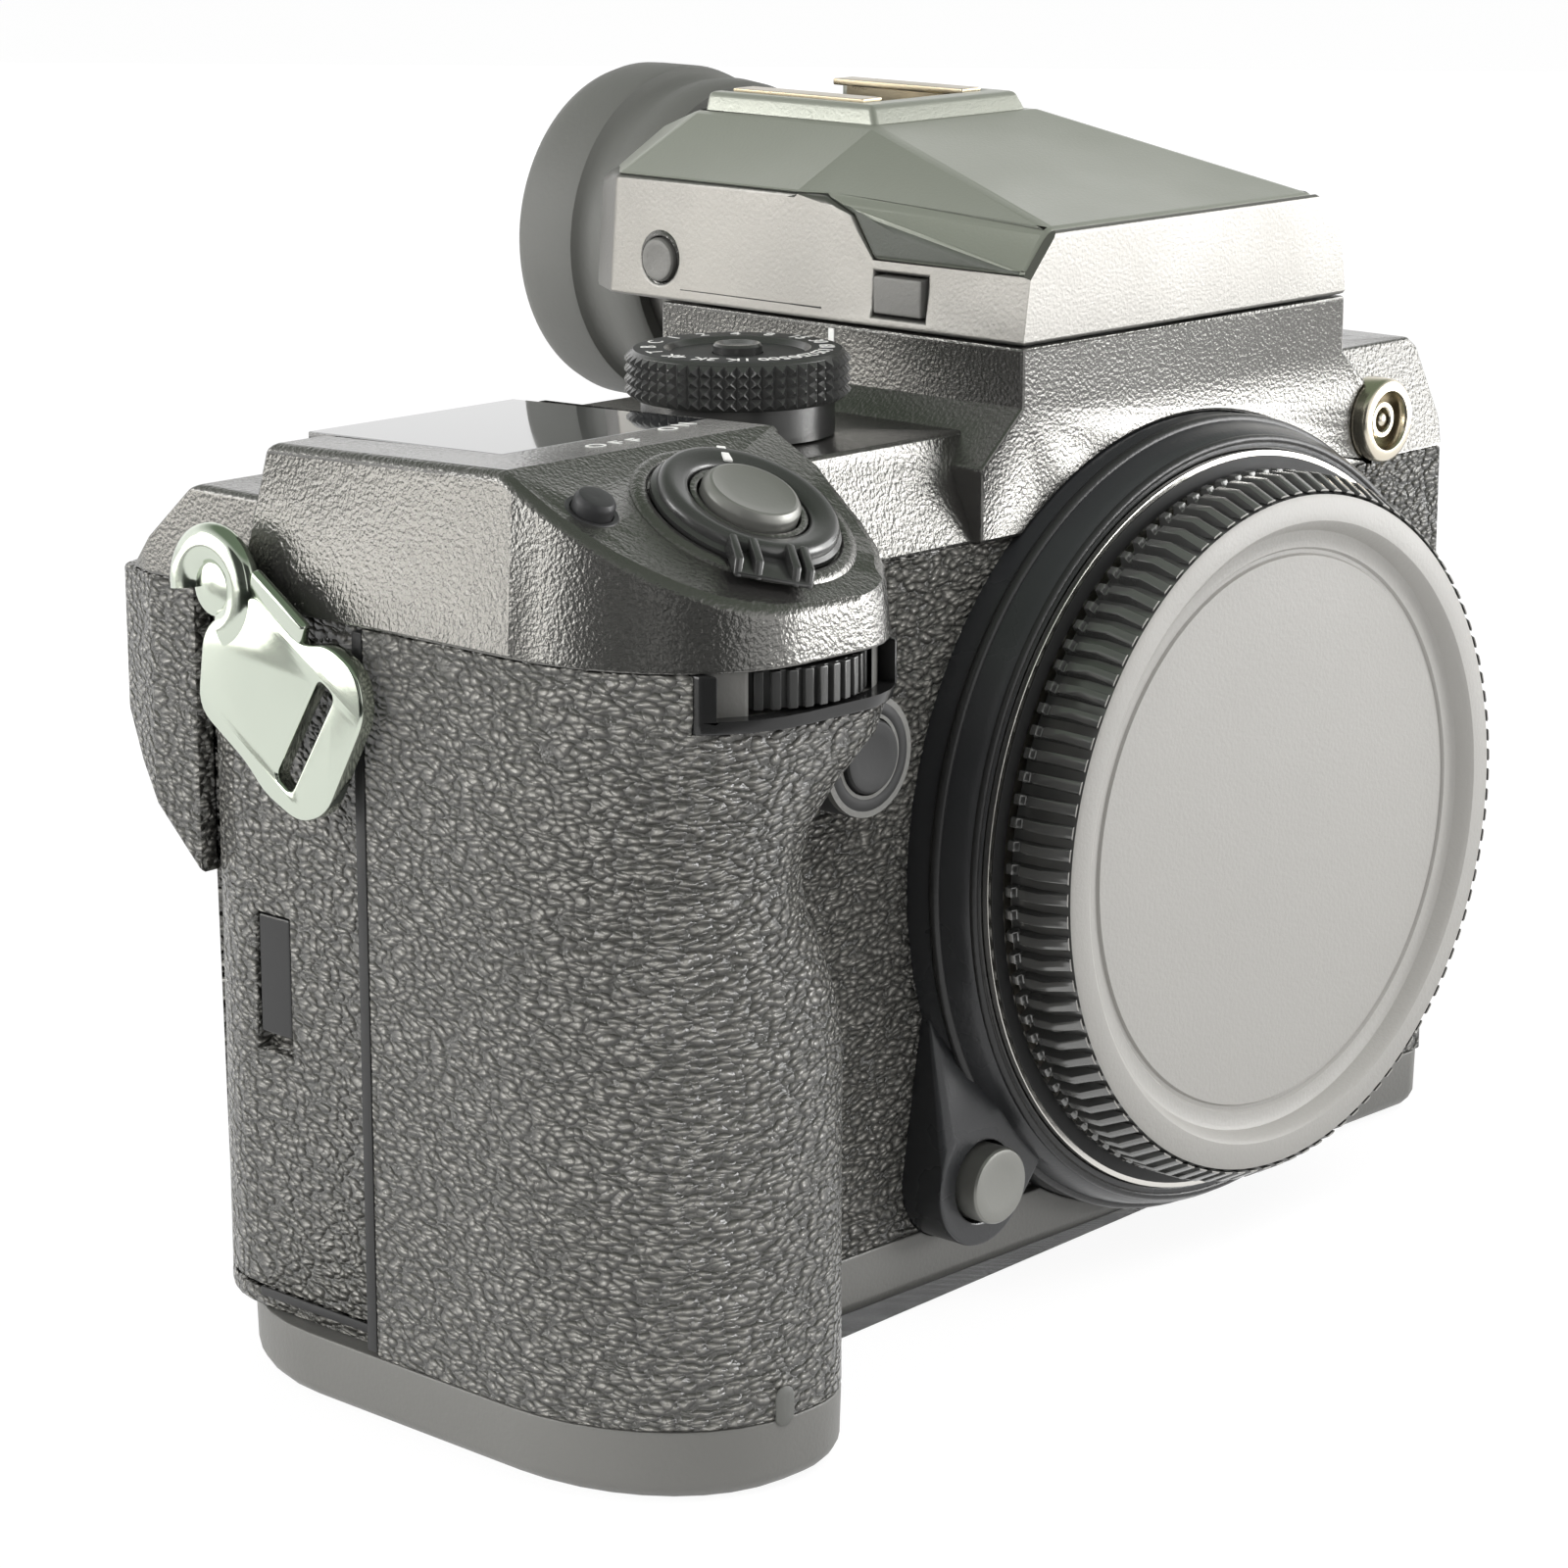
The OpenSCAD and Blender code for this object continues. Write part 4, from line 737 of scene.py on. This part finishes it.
print("cap radius", round(cap_r, 2), "mm, front", round(cap_front, 2), "mm before the flange")

# %% Cap ribs
RIBS = 100
RIB_TAPER = 0.68
RIB_SHOULDER = 4.9
GROOVE_CUTS = (1.5, 1.75, 2.05, 2.3)
GROOVE_DEPTH = 0.55
SLACK = 0.05


def spun_copies(count):
    """Repeats what is selected round the Z axis, count times in all."""
    bpy.ops.mesh.spin(steps=count - 1, dupli=True, angle=math.tau * (count - 1) / count,
                      center=(0, 0, 0), axis=(0, 0, 1))


rib = block("cap_rib", (root_r - 0.4, -0.72, 0.7), (cap_r, 0.72, cap_front - 0.15))
with editing(rib) as mesh:
    for height in (*GROOVE_CUTS, RIB_SHOULDER):
        bpy.ops.mesh.select_all(action="SELECT")
        bpy.ops.mesh.bisect(plane_co=(0, 0, height * MM), plane_no=(0, 0, 1))
    for vert in mesh.verts:
        height = vert.co.z / MM
        if vert.co.x > root_r * MM:
            vert.co.y *= RIB_TAPER
            if height > RIB_SHOULDER + SLACK:
                vert.co.x = (root_r - 0.25) * MM
            elif GROOVE_CUTS[0] + SLACK < height < GROOVE_CUTS[-1] - SLACK:
                vert.co.x -= GROOVE_DEPTH * MM
    bmesh.update_edit_mesh(rib.data)
soften(rib, 0.12, 1, 40)
with editing(rib):
    spun_copies(RIBS)
cap = join("cap_shell", [cap, rib])
smooth(cap, 30)
stand_for(cap, "body_cap")
cap.data.materials.append(finishes["rib_plastic"])
for face in cap.data.polygons:
    edge_r = math.hypot(face.center.x, face.center.y) / MM
    on_the_wall = edge_r > root_r - 0.6 and face.center.z < (cap_front - 0.25) * MM
    face.material_index = int(on_the_wall)
move_into_place(cap, lens_frame)

# %% [markdown]
# ## Top dials
# Both dials on the top are knurled aluminium: rows of small pyramids round the rim, a ring for the
# numbers and a sunk middle with a lock button. The body is turned. One pyramid is a cone of four
# sides laid on the rim; it is duplicated down the rim and then spun round it.

# %% Numbers and words
INK = 0.02
ABOVE = 0.03


def printed(name, words, size, matrix):
    """White print, a few hundredths of a millimetre thick."""
    bpy.ops.object.select_all(action="DESELECT")
    bpy.ops.object.text_add(location=(0, 0, 0))
    label = bpy.context.object
    label.name = name
    label.data.body = words
    label.data.size = size * MM
    label.data.align_x = "CENTER"
    label.data.align_y = "CENTER"
    label.data.extrude = INK * MM
    label.data.resolution_u = 3
    bpy.ops.object.convert(target="MESH")
    move_into_place(label, matrix)
    return label


print("print", INK, "mm thick")

# %% A knurled dial
STUD_ROWS = 4
STUD_STEP = 1.02
STUD_HEIGHT = 0.6
DIAL_FOOT = -8.2


def knurled_dial(node, columns, numbers):
    """A dial in place of a node, with its numbers; returns the frame on its top."""
    low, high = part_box(node)
    radius = (high.x - low.x) / 2 / MM
    place = Matrix.Translation(((low.x + high.x) / 2, (low.y + high.y) / 2, high.z))
    core, neck = radius - 0.55, radius * 0.86
    dial = turned(node + "_skin", [
        (2.5, -0.55), (radius * 0.6, -0.55), (radius * 0.63, -0.12), (radius * 0.65, 0),
        (core - 0.6, 0), (core - 0.3, -0.08), (core, -0.35), (core, -4.55), (core - 0.25, -4.8),
        (neck, -4.8), (neck, DIAL_FOOT), (2.5, DIAL_FOOT), (2.5, -0.55)], columns * 2)
    bpy.ops.object.select_all(action="DESELECT")
    side = math.tau * radius / columns
    bpy.ops.mesh.primitive_cone_add(
        vertices=4, radius1=side * 0.69 * MM, radius2=0.1 * MM, depth=STUD_HEIGHT * MM)
    stud = bpy.context.object
    move_into_place(stud, spun(90, "Y") @ spun(45, "Z"))
    move_into_place(stud, shift(core + 0.25, 0, -0.98))
    with editing(stud):
        for row in range(STUD_ROWS - 1):
            bpy.ops.mesh.duplicate_move(TRANSFORM_OT_translate={"value": (0, 0, -STUD_STEP * MM)})
        bpy.ops.mesh.select_all(action="SELECT")
        spun_copies(columns)
    dial = join(dial.name, [dial, stud])
    move_into_place(dial, place)
    smooth(dial, 25)
    stand_for(dial, node)
    dial.data.materials.append(finishes["matte_black"])
    for face in dial.data.polygons:
        face.material_index = int(face.normal.z > 0.95)
    labels = []
    for k, number in enumerate(numbers):
        turn = Matrix.Rotation(-math.tau * k / len(numbers), 4, "Z")
        spot = place @ turn @ shift(0, radius * 0.78, ABOVE)
        labels.append(printed("number", number, radius * 0.2, spot))
    labels = join(node + "_numbers", labels)
    settle(labels, "white_ink", body_of[node], slot_of[node])
    return place


SPEEDS = "1 2 4 8 15 30 60 125 250 500 1K 2K 4K T B C".split()
SENSITIVITIES = "100 200 400 800 1600 3200 6400 A C".split()
speed_place = knurled_dial("speed_dial", 54, SPEEDS)
iso_place = knurled_dial("iso_dial", 40, SENSITIVITIES)

# %% Lock buttons in the dials
LOCKS = [("speed_lock", "speed", speed_place), ("iso_lock", "iso", iso_place)]
for node, dial_body, place in LOCKS:
    pin = turned(node + "_skin", [
        (0.3, 0.1), (1.5, 0.12), (2.0, 0.4), (2.2, 0.4), (2.38, 0.15), (2.38, -6), (0.3, -6)], 48)
    move_into_place(pin, place)
    smooth(pin)
    stand_for(pin, node)
    dot = turned(node + "_dot", [(0.15, 0.05), (0.4, 0.05), (0.45, 0), (0.15, 0)], 16)
    move_into_place(dot, place @ shift(-3.6, -3.0, -0.54))
    settle(dot, "white_ink", dial_body, "black_metal")

# %% [markdown]
# ## Shutter button and power lever
# The lever is a polished ring round the shutter button, with a thumb piece that carries four vanes.
# The ring is turned, in the frame of the sloping platform. Each vane is a cube with a sloped and
# rounded outer end, and a small plate joins the four. A painted lip on the cover surrounds it.

# %% Lever and its seat
platform = Matrix.Translation(at(-78.3, -5.7, 86.18)) @ Matrix.Rotation(TILT, 4, "X")
seat = turned("lever_seat", [
    (8.9, -0.3), (8.95, 0.3), (9.2, 0.5), (9.9, 0.5), (10.35, 0.2), (10.6, -0.3), (8.9, -0.3)], 96)
move_into_place(seat, platform)
smooth(seat, 50)
settle(seat, "satin_paint", "body", "satin_paint")

lever = turned("power_lever_skin", [
    (5.62, 0.25), (8.72, 0.25), (8.78, 0.75), (8.4, 1.05), (8.38, 1.5), (8.05, 2.05), (7.65, 2.2),
    (7.0, 2.12), (6.3, 1.95), (5.85, 1.8), (5.62, 1.5), (5.62, 0.25)], 96)
VANES = (-3.4, -1.55, 1.9, 3.15)
vanes = []
for along in VANES:
    vane = block("vane", (7.4, along - 0.42, 0.75), (11.9, along + 0.42, 2.5))
    with editing(vane) as mesh:
        for vert in mesh.verts:
            if vert.co.x > 10 * MM and vert.co.z > 2 * MM:
                vert.co.x -= 1.0 * MM
                vert.co.z -= 0.25 * MM
        bmesh.update_edit_mesh(vane.data)
    soften(vane, 0.28, 3)
    vanes.append(vane)
web = block("web", (7.4, -3.7, 0.72), (11.7, 3.45, 1.25))
soften(web, 0.2, 2)
thumb = join("lever_thumb", vanes + [web])
move_into_place(thumb, spun(-121, "Z"))
lever = join("power_lever_skin", [lever, thumb])
move_into_place(lever, platform)
smooth(lever, 40)
stand_for(lever, "power_lever")

# %% Index on the lever, and its words
mark = block("lever_index", (5.95, -0.42, 1.86), (8.2, 0.42, 2.12))
with editing(mark) as mesh:
    for vert in mesh.verts:
        if vert.co.x > 7 * MM:
            vert.co.z += 0.03 * MM
    bmesh.update_edit_mesh(mark.data)
soften(mark, 0.05, 1)
move_into_place(mark, platform @ spun(67, "Z"))
settle(mark, "white_ink", "lever", "black_metal")
WORD_SIZE = 2.7
plateau = Matrix.Translation(at(0, 5, 91.4)) @ Matrix.Rotation(-PLATEAU_TILT, 4, "X")
for words, x, y, turn in (("O F F", -80.2, 3.4, -5), ("O N", -69.6, 6.0, 15)):
    spot = plateau @ shift(x, y, ABOVE) @ spun(turn, "Z")
    label = printed("word_" + words.replace(" ", "").lower(), words, WORD_SIZE, spot)
    settle(label, "white_ink", "body", "satin_paint")

# %% Shutter and exposure buttons
button = turned("shutter_button_skin", [
    (0.3, 2.72), (2.4, 2.76), (3.6, 2.9), (3.85, 2.98), (4.1, 2.9), (4.5, 2.4), (4.55, 2.1),
    (4.55, 0.5), (4.2, 0.4), (0.3, 0.4)], 72)
move_into_place(button, platform)
smooth(button, 30)
# The shutter button is dark metal; its lighter grey is partly a painted reflection.
stand_for(button, "shutter_button", "button_grey_sheen")
small = turned("exposure_button_skin", [
    (0.2, 1.5), (1.35, 1.56), (1.6, 1.5), (1.85, 1.15), (1.9, 0.9), (1.9, -0.5), (0.2, -0.5)], 48)
spot = platform @ shift(-14.6, 4.5, 0)
move_into_place(small, spot)
smooth(small, 30)
stand_for(small, "exposure_button")
cup = turned("exposure_cup", [
    (1.98, -0.2), (2.02, 0.05), (2.4, 0.09), (2.65, -0.2), (1.98, -0.2)], 48)
move_into_place(cup, spot)
smooth(cup, 50)
settle(cup, "black_plastic", "body", "satin_paint")

# %% [markdown]
# ## Strap clip
# The clip is a stamped and polished plate that hangs from the lug: a hook of round section, a flat
# body with a slot for the strap, and a folded bar that locks the hook. The body is a flat outline
# with a hole, given thickness and a rolled edge; the hook is a ring swept by spin; the bar is a
# block, bevelled and tilted.

# %% Plate with a slot
def outline_points(corners, radius, steps=5):
    """Points round a polygon whose corners are rounded."""
    points = []
    for k, corner in enumerate(corners):
        corner = Vector(corner)
        before, after = Vector(corners[k - 1]), Vector(corners[(k + 1) % len(corners)])
        reach = min(radius, (before - corner).length * 0.45, (after - corner).length * 0.45)
        start = corner + (before - corner).normalized() * reach
        end = corner + (after - corner).normalized() * reach
        for i in range(steps + 1):
            t = i / steps
            points.append(start.lerp(corner, t).lerp(corner.lerp(end, t), t))
    return points


def flat_plate(name, outlines, thickness, roll):
    """A plate from one outer outline and its holes, with rolled edges."""
    curve = bpy.data.curves.new(name, "CURVE")
    curve.dimensions = "2D"
    curve.fill_mode = "BOTH"
    for points in outlines:
        spline = curve.splines.new("POLY")
        spline.points.add(len(points) - 1)
        for target, point in zip(spline.points, points):
            target.co = (point.x * MM, point.y * MM, 0, 1)
        spline.use_cyclic_u = True
    curve.extrude = (thickness / 2 - roll) * MM
    curve.bevel_depth = roll * MM
    curve.bevel_resolution = 2
    curve.offset = -roll * MM
    plate = bpy.data.objects.new(name, curve)
    bpy.context.scene.collection.objects.link(plate)
    only(plate)
    bpy.ops.object.convert(target="MESH")
    with editing(plate):
        bpy.ops.mesh.remove_doubles(threshold=0.004 * MM)
        bpy.ops.mesh.normals_make_consistent(inside=False)
    return plate


clip_frame = Matrix.Translation(at(-102.6, 38, 77.8)) @ Matrix((
    (0, 0, 1, 0), (-0.848, 0.53, 0, 0), (-0.53, -0.848, 0, 0), (0, 0, 0, 1)))
PLATE = [(1.2, 3.9), (4.4, 11.2), (12.2, 11.2), (15.5, 12), (20.6, 11.2), (22.9, 8.2),
         (22.4, -3), (19.6, -6), (15.2, -5.6), (12.6, -3.2), (5.2, -3.2), (4.0, -0.4)]
SLOT = [(15.9, -2.1), (18.4, -2.1), (18.4, 9.6), (15.9, 9.6)]
PLATE_THICK = 1.8
outlines = [outline_points(PLATE, 2.2), outline_points(SLOT, 0.9)]
plate = flat_plate("clip_plate", outlines, PLATE_THICK, 0.3)
move_into_place(plate, shift(0, 0, PLATE_THICK / 2))
print("clip plate", len(plate.data.polygons), "faces")

# %% Hook and lock bar
HOOK_RADIUS, HOOK_WIRE = 4.0, 1.9
HOOK_START, HOOK_SWEEP = 38, math.radians(258)
bpy.ops.object.select_all(action="DESELECT")
bpy.ops.mesh.primitive_circle_add(vertices=16, radius=HOOK_WIRE * MM, fill_type="NGON")
hook = bpy.context.object
squeeze = Matrix.Diagonal((1, 0.66, 1, 1))
move_into_place(hook, shift(HOOK_RADIUS, 0, 0) @ spun(90, "X") @ squeeze)
move_into_place(hook, spun(HOOK_START, "Z"))
with editing(hook):
    bpy.ops.mesh.spin(steps=32, angle=HOOK_SWEEP, center=(0, 0, 0), axis=(0, 0, 1))
    bpy.ops.mesh.select_all(action="SELECT")
    bpy.ops.mesh.remove_doubles(threshold=0.003 * MM)
    bpy.ops.mesh.normals_make_consistent(inside=False)
move_into_place(hook, shift(0.2, 0.3, 0.75))
tongue = turned("clip_tongue", [(0.3, 0.42), (2.3, 0.42), (2.75, 0.6), (2.75, 1.0), (0.3, 1.0)], 32)
move_into_place(tongue, shift(0.2, 0.3, 0))
clip = join("strap_clip_skin", [plate, hook, tongue])
move_into_place(clip, clip_frame)
smooth(clip, 40)
stand_for(clip, "strap_clip")
bar = block("clip_lock_skin", (4.3, -5.3, -0.35), (12.4, -2.6, 0.75))
soften(bar, 0.35, 3)
move_into_place(bar, shift(0, -3.2, 0.4) @ spun(14, "X") @ shift(0, 3.2, 0))
move_into_place(bar, clip_frame)
smooth(bar, 40)
stand_for(bar, "clip_lock")

# %% Strap lugs
lug_z = sum(corner.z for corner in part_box("strap_lugs")) / 2
left_lug = turned("left_lug", [
    (0.3, 3.1), (1.2, 3.1), (1.6, 2.7), (1.6, 0.9), (2.6, 0.7), (2.9, 0.3), (2.9, -1.6),
    (0.3, -1.6)], 40)
left_side = Matrix.Translation((at(-98.9, 0, 0).x, lug_y, lug_z))
move_into_place(left_lug, left_side @ spun(-90, "Y"))
right_lug = turned("right_lug", [
    (0.3, 2.6), (2.1, 2.6), (2.4, 2.35), (2.45, 1.6), (2.2, 1.4), (1.65, 1.3), (1.65, -2),
    (0.3, -2)], 40)
right_side = Matrix.Translation((at(47, 0, 0).x, lug_y, lug_z))
move_into_place(right_lug, right_side @ spun(90, "Y"))
lugs = join("strap_lugs_skin", [left_lug, right_lug])
smooth(lugs, 40)
stand_for(lugs, "strap_lugs")

# %% [markdown]
# ## Round pieces
# The collar round the mount has two beads with a smooth valley between them. The round buttons,
# their sleeves and the sync terminal are turned too, each in a frame that looks out of its side.

# %% Beads of the collar
BEADS = {"collar_bead_outer": (40.95, -4.5, 0.62), "collar_bead_inner": (39.35, -0.95, 0.5)}
BEAD_SIDES = 10
angles = [math.tau * k / BEAD_SIDES for k in range(BEAD_SIDES)]
for name, (radius, depth, thick) in BEADS.items():
    ring = [(radius + thick * math.cos(a), depth + thick * math.sin(a)) for a in angles]
    bead = turned(name, ring + ring[:1], 144)
    move_into_place(bead, lens_frame)
    smooth(bead, 60)
    settle(bead, "bead_paint", "body", "collar_paint")

# %% Painted shade on the mount ring
# A black ring a tenth of a millimetre thick on the face of the mount ring, where the cap's ribs
# keep the polished face dark: painted shade.
ring_shade = turned("mount_ring_shade", [
    (36.2, 0.02), (37.75, 0.02), (37.8, 0.06), (37.75, 0.12), (36.2, 0.12), (36.2, 0.02)], 144)
move_into_place(ring_shade, lens_frame)
settle(ring_shade, "matte_black", "body", "rubber")

# %% Buttons
# The turn that makes Z look out of each side of a node's box.
OUTWARD = {"front": ("X", 90), "rear": ("X", -90), "left": ("Y", -90), "up": ("Z", 0)}


def facing(node, way):
    """A frame at the outer face of a node, with Z looking out of it."""
    low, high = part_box(node)
    middle = (low + high) / 2
    spot = {"front": (middle.x, low.y, middle.z), "rear": (middle.x, high.y, middle.z),
            "left": (low.x, middle.y, middle.z), "up": (middle.x, middle.y, high.z)}[way]
    axis, degrees = OUTWARD[way]
    return Matrix.Translation(spot) @ spun(degrees, axis)


def push_button(node, way, radius, depth, dish=0.15, finish=None):
    """A round button with a dished face and a rounded edge."""
    piece = turned(node + "_skin", [
        (0.2, -dish), (radius * 0.6, -dish * 0.8), (radius - 0.5, 0), (radius - 0.22, -0.06),
        (radius - 0.05, -0.25), (radius, -0.5), (radius, -depth), (0.2, -depth)], 48)
    move_into_place(piece, facing(node, way))
    smooth(piece, 30)
    stand_for(piece, node, finish)


push_button("fn_button", "front", 3.6, 2.4, 0.25, "matte_black")
# The lens release is black plastic; its light grey is a painted reflection.
push_button("lens_release", "front", 3.9, 3.2, 0.1, "button_grey_sheen")
push_button("view_button", "left", 2.3, 1.7, 0.1, "cover_paint")
push_button("drive_button", "up", 2.0, 1.3, 0.1)
push_button("play_button", "rear", 2.5, 1.3, 0.1)
push_button("af_button", "rear", 3.0, 3.5, 0.2)

# %% Sleeves round two buttons
sleeve = turned("fn_sleeve", [
    (3.8, -1.6), (3.8, -0.5), (4.15, -0.1), (4.6, 0), (5.3, -0.1), (5.75, -0.45), (5.95, -1.0),
    (5.95, -5.0), (3.8, -5.0), (3.8, -1.6)], 64)
move_into_place(sleeve, Matrix.Translation(at(-51.7, 3.3, 58.5)) @ spun(90, "X"))
smooth(sleeve, 40)
settle(sleeve, "matte_black", "body", "cover_paint")
sleeve = turned("view_sleeve", [
    (2.4, -0.6), (2.45, 0.25), (2.6, 0.32), (3.0, 0.15), (3.25, -0.2), (3.3, -0.6),
    (2.4, -0.6)], 48)
view_low, view_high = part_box("view_button")
view_spot = (view_low + view_high) / 2
view_spot.x = at(-25.45, 0, 0).x
move_into_place(sleeve, Matrix.Translation(view_spot) @ spun(-90, "Y"))
smooth(sleeve, 40)
settle(sleeve, "satin_paint", "finder", "satin_paint")

# %% Sync terminal
socket = turned("sync_terminal_skin", [
    (3.0, -2.3), (3.0, -0.3), (3.2, 0), (3.9, 0), (4.3, -0.2), (4.48, -0.6), (4.48, -2.9),
    (3.0, -2.9), (3.0, -2.3)], 64)
floor_ring = turned("sync_floor", [(0.4, -2.4), (3.02, -2.4), (3.02, -2.8), (0.4, -2.8)], 48)
well = turned("sync_well", [
    (1.25, -2.4), (1.25, -1.0), (1.4, -0.85), (1.85, -0.85), (2.0, -1.0), (2.0, -2.4),
    (1.25, -2.4)], 48)
pin = turned("sync_pin", [(0.1, -0.75), (0.5, -0.8), (0.7, -1.0), (0.7, -2.4), (0.1, -2.4)], 24)
socket = join("sync_terminal_skin", [socket, floor_ring, well, pin])
move_into_place(socket, facing("sync_terminal", "front"))
smooth(socket, 40)
stand_for(socket, "sync_terminal", "pale_brass")

# %% [markdown]
# ## Eyepiece and rear controls
# The eyecup is soft rubber with a wide rounded lip and a waist behind it, so it is turned from a
# full profile. The rear controls keep the form of their solids, with rounded edges.

# %% Eyecup and eyepiece
cup_low, cup_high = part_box("eyecup")
cup_r = (cup_high.x - cup_low.x) / 2 / MM
eyecup = turned("eyecup_skin", [
    (14.1, -11.9), (15.3, -5.0), (15.8, -1.2), (16.2, -0.3), (16.9, 0), (17.5, -0.15), (18.1, -0.8),
    (18.45, -1.9), (cup_r, -3.4), (cup_r, -8.2), (18.3, -9.0), (17.7, -9.4), (17.2, -10.0),
    (17.0, -11.4), (17.25, -12.6), (17.5, -14.2), (17.2, -16.9), (16.8, -17.35), (15.45, -17.35),
    (15.45, -11.9), (14.1, -11.9)], 120)
move_into_place(eyecup, facing("eyecup", "rear"))
smooth(eyecup, 40)
stand_for(eyecup, "eyecup")
lens = turned("eyepiece_skin", [
    (0.3, 0), (4, -0.12), (8, -0.6), (11, -1.35), (13.2, -2.1), (13.35, -2.5), (13.35, -3.9),
    (0.3, -3.9)], 72)
move_into_place(lens, facing("eyepiece", "rear"))
smooth(lens, 30)
stand_for(lens, "eyepiece")

# %% Rounded copies of the smaller solids
SMALL_EDGES = {
    "front_dial": 0.12, "rear_dial": 0.12, "diopter_dial": 0.1, "card_latch": 0.3,
    "finder_release_l": 0.3, "finder_release_r": 0.3, "battery_door": 0.35, "port_door": 0.4,
    "lcd_frame": 0.9, "lcd_tilt": 0.4, "lcd_drop": 0.4, "selector_pad": 0.4, "focus_stick": 0.5,
    "tripod_bush": 0.15, "sub_lcd_glass": 0.15, "mount_ring": 0.15,
}
EDGE_FINISH = {
    "finder_release_l": "cover_paint", "finder_release_r": "cover_paint",
    "card_latch": "gloss_black",
}
for node, width in SMALL_EDGES.items():
    rounded_copy(node, width, EDGE_FINISH.get(node))

# %% [markdown]
# ## Small marks and plugs
# A few small things finish the picture: the index line beside the speed dial, the parting line on
# the side of the viewfinder, the contacts in the shoe, the screws of the base, a black strip of
# painted shade in the groove round the card door, the lid over the thumb rest and the plug of the
# cable channel at the foot of the grip.
# Each starts as a cube or a turned blank, is bevelled, and is copied where it repeats.

# %% Index line and parting line
MARKS = {
    "dial_index": ((-26.22, 31.5, 91.6), (-26.02, 32.3, 93.6), "white_ink", "body"),
    "finder_parting": ((-26.02, 33.5, 95.4), (-25.6, 53.4, 95.55), "matte_black", "finder"),
}
for name, (low, high, finish, body) in MARKS.items():
    mark = block(name, low, high)
    soften(mark, 0.05, 1)
    move_into_place(mark, Matrix.Translation((0, flange_y, 0)))
    settle(mark, finish, body, "satin_paint")

# %% Contacts in the accessory shoe
def copies(piece, places):
    """Copies of a small piece at several places, the first one moved there itself."""
    others = []
    for place in places[1:]:
        other = bpy.data.objects.new(piece.name, piece.data.copy())
        bpy.context.scene.collection.objects.link(other)
        move_into_place(other, place)
        others.append(other)
    move_into_place(piece, places[0])
    return [piece, *others]


CONTACTS = [(0, 0), (-4.2, 3.4), (4.2, 3.4), (-4.2, -3.4), (4.2, -3.4)]
SHOE_FLOOR = 0.5
shoe_low, shoe_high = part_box("hot_shoe")
shoe_middle = (shoe_low + shoe_high) / 2
shoe = Matrix.Translation((shoe_middle.x, shoe_middle.y, shoe_low.z)) @ shift(0, 0, SHOE_FLOOR)
contact = turned("shoe_contact", [
    (0.1, 0.3), (0.75, 0.3), (0.95, 0.2), (1.05, 0), (1.05, -0.2), (0.1, -0.2)], 32)
contacts = join("shoe_contacts", copies(contact, [shoe @ shift(x, y, 0) for x, y in CONTACTS]))
smooth(contacts)
settle(contacts, "contact_gold", "finder", "contact_gold")

# %% Screws under the base
SCREWS = [(-85, -30), (-85, 12), (-30, -12), (-30, 14), (36, -10), (36, 14)]
head = turned("screw_head", [
    (0.3, 0.12), (0.5, -0.04), (1.2, -0.04), (1.45, 0.02), (1.5, 0.3), (0.3, 0.3)], 32)
screws = join("base_screws", copies(head, [shift(x, y, 0) for x, y in SCREWS]))
smooth(screws, 25)
settle(screws, "dark_metal", "body", "bright_steel")

# %% Painted shade in the groove round the card door
# A matte black strip in the step between the door and the grip leather: painted shade of the groove
# there.
upright = block("groove_shade_upright", (-99.42, -5.6, 7.4), (-97.7, -4.3, 75.2))
sill = block("groove_shade_sill", (-98.0, -5.4, 8.2), (-97.7, 12.4, 9.1))
groove_shade = join("door_groove_shade", [upright, sill])
soften(groove_shade, 0.12, 2)
smooth(groove_shade)
settle(groove_shade, "matte_black", "body", "rubber")

# %% Lid over the thumb rest
lid = block("thumb_lid", (-91.8, 30.6, 74.3), (-60.2, 34.8, 75.35))
soften(lid, 0.25, 2)
smooth(lid)
settle(lid, "leatherette", "body", "leatherette")

# %% Plug at the foot of the grip
plug = turned("grip_plug", [(0.1, 0.12), (0.85, 0.12), (1.05, 0), (1.1, -0.6), (0.1, -0.6)], 32)
PLUG_LENGTH = 1.7
with editing(plug) as mesh:
    bpy.ops.mesh.select_all(action="DESELECT")
    for vert in mesh.verts:
        vert.select = vert.co.y < -0.001 * MM
    bmesh.update_edit_mesh(plug.data)
    bpy.ops.transform.translate(value=(0, -PLUG_LENGTH * MM, 0))
move_into_place(plug, shift(-84.6, -43.3, 9.0) @ spun(-6, "Z") @ spun(90, "X"))
smooth(plug)
settle(plug, "rubber", "body", "leatherette")
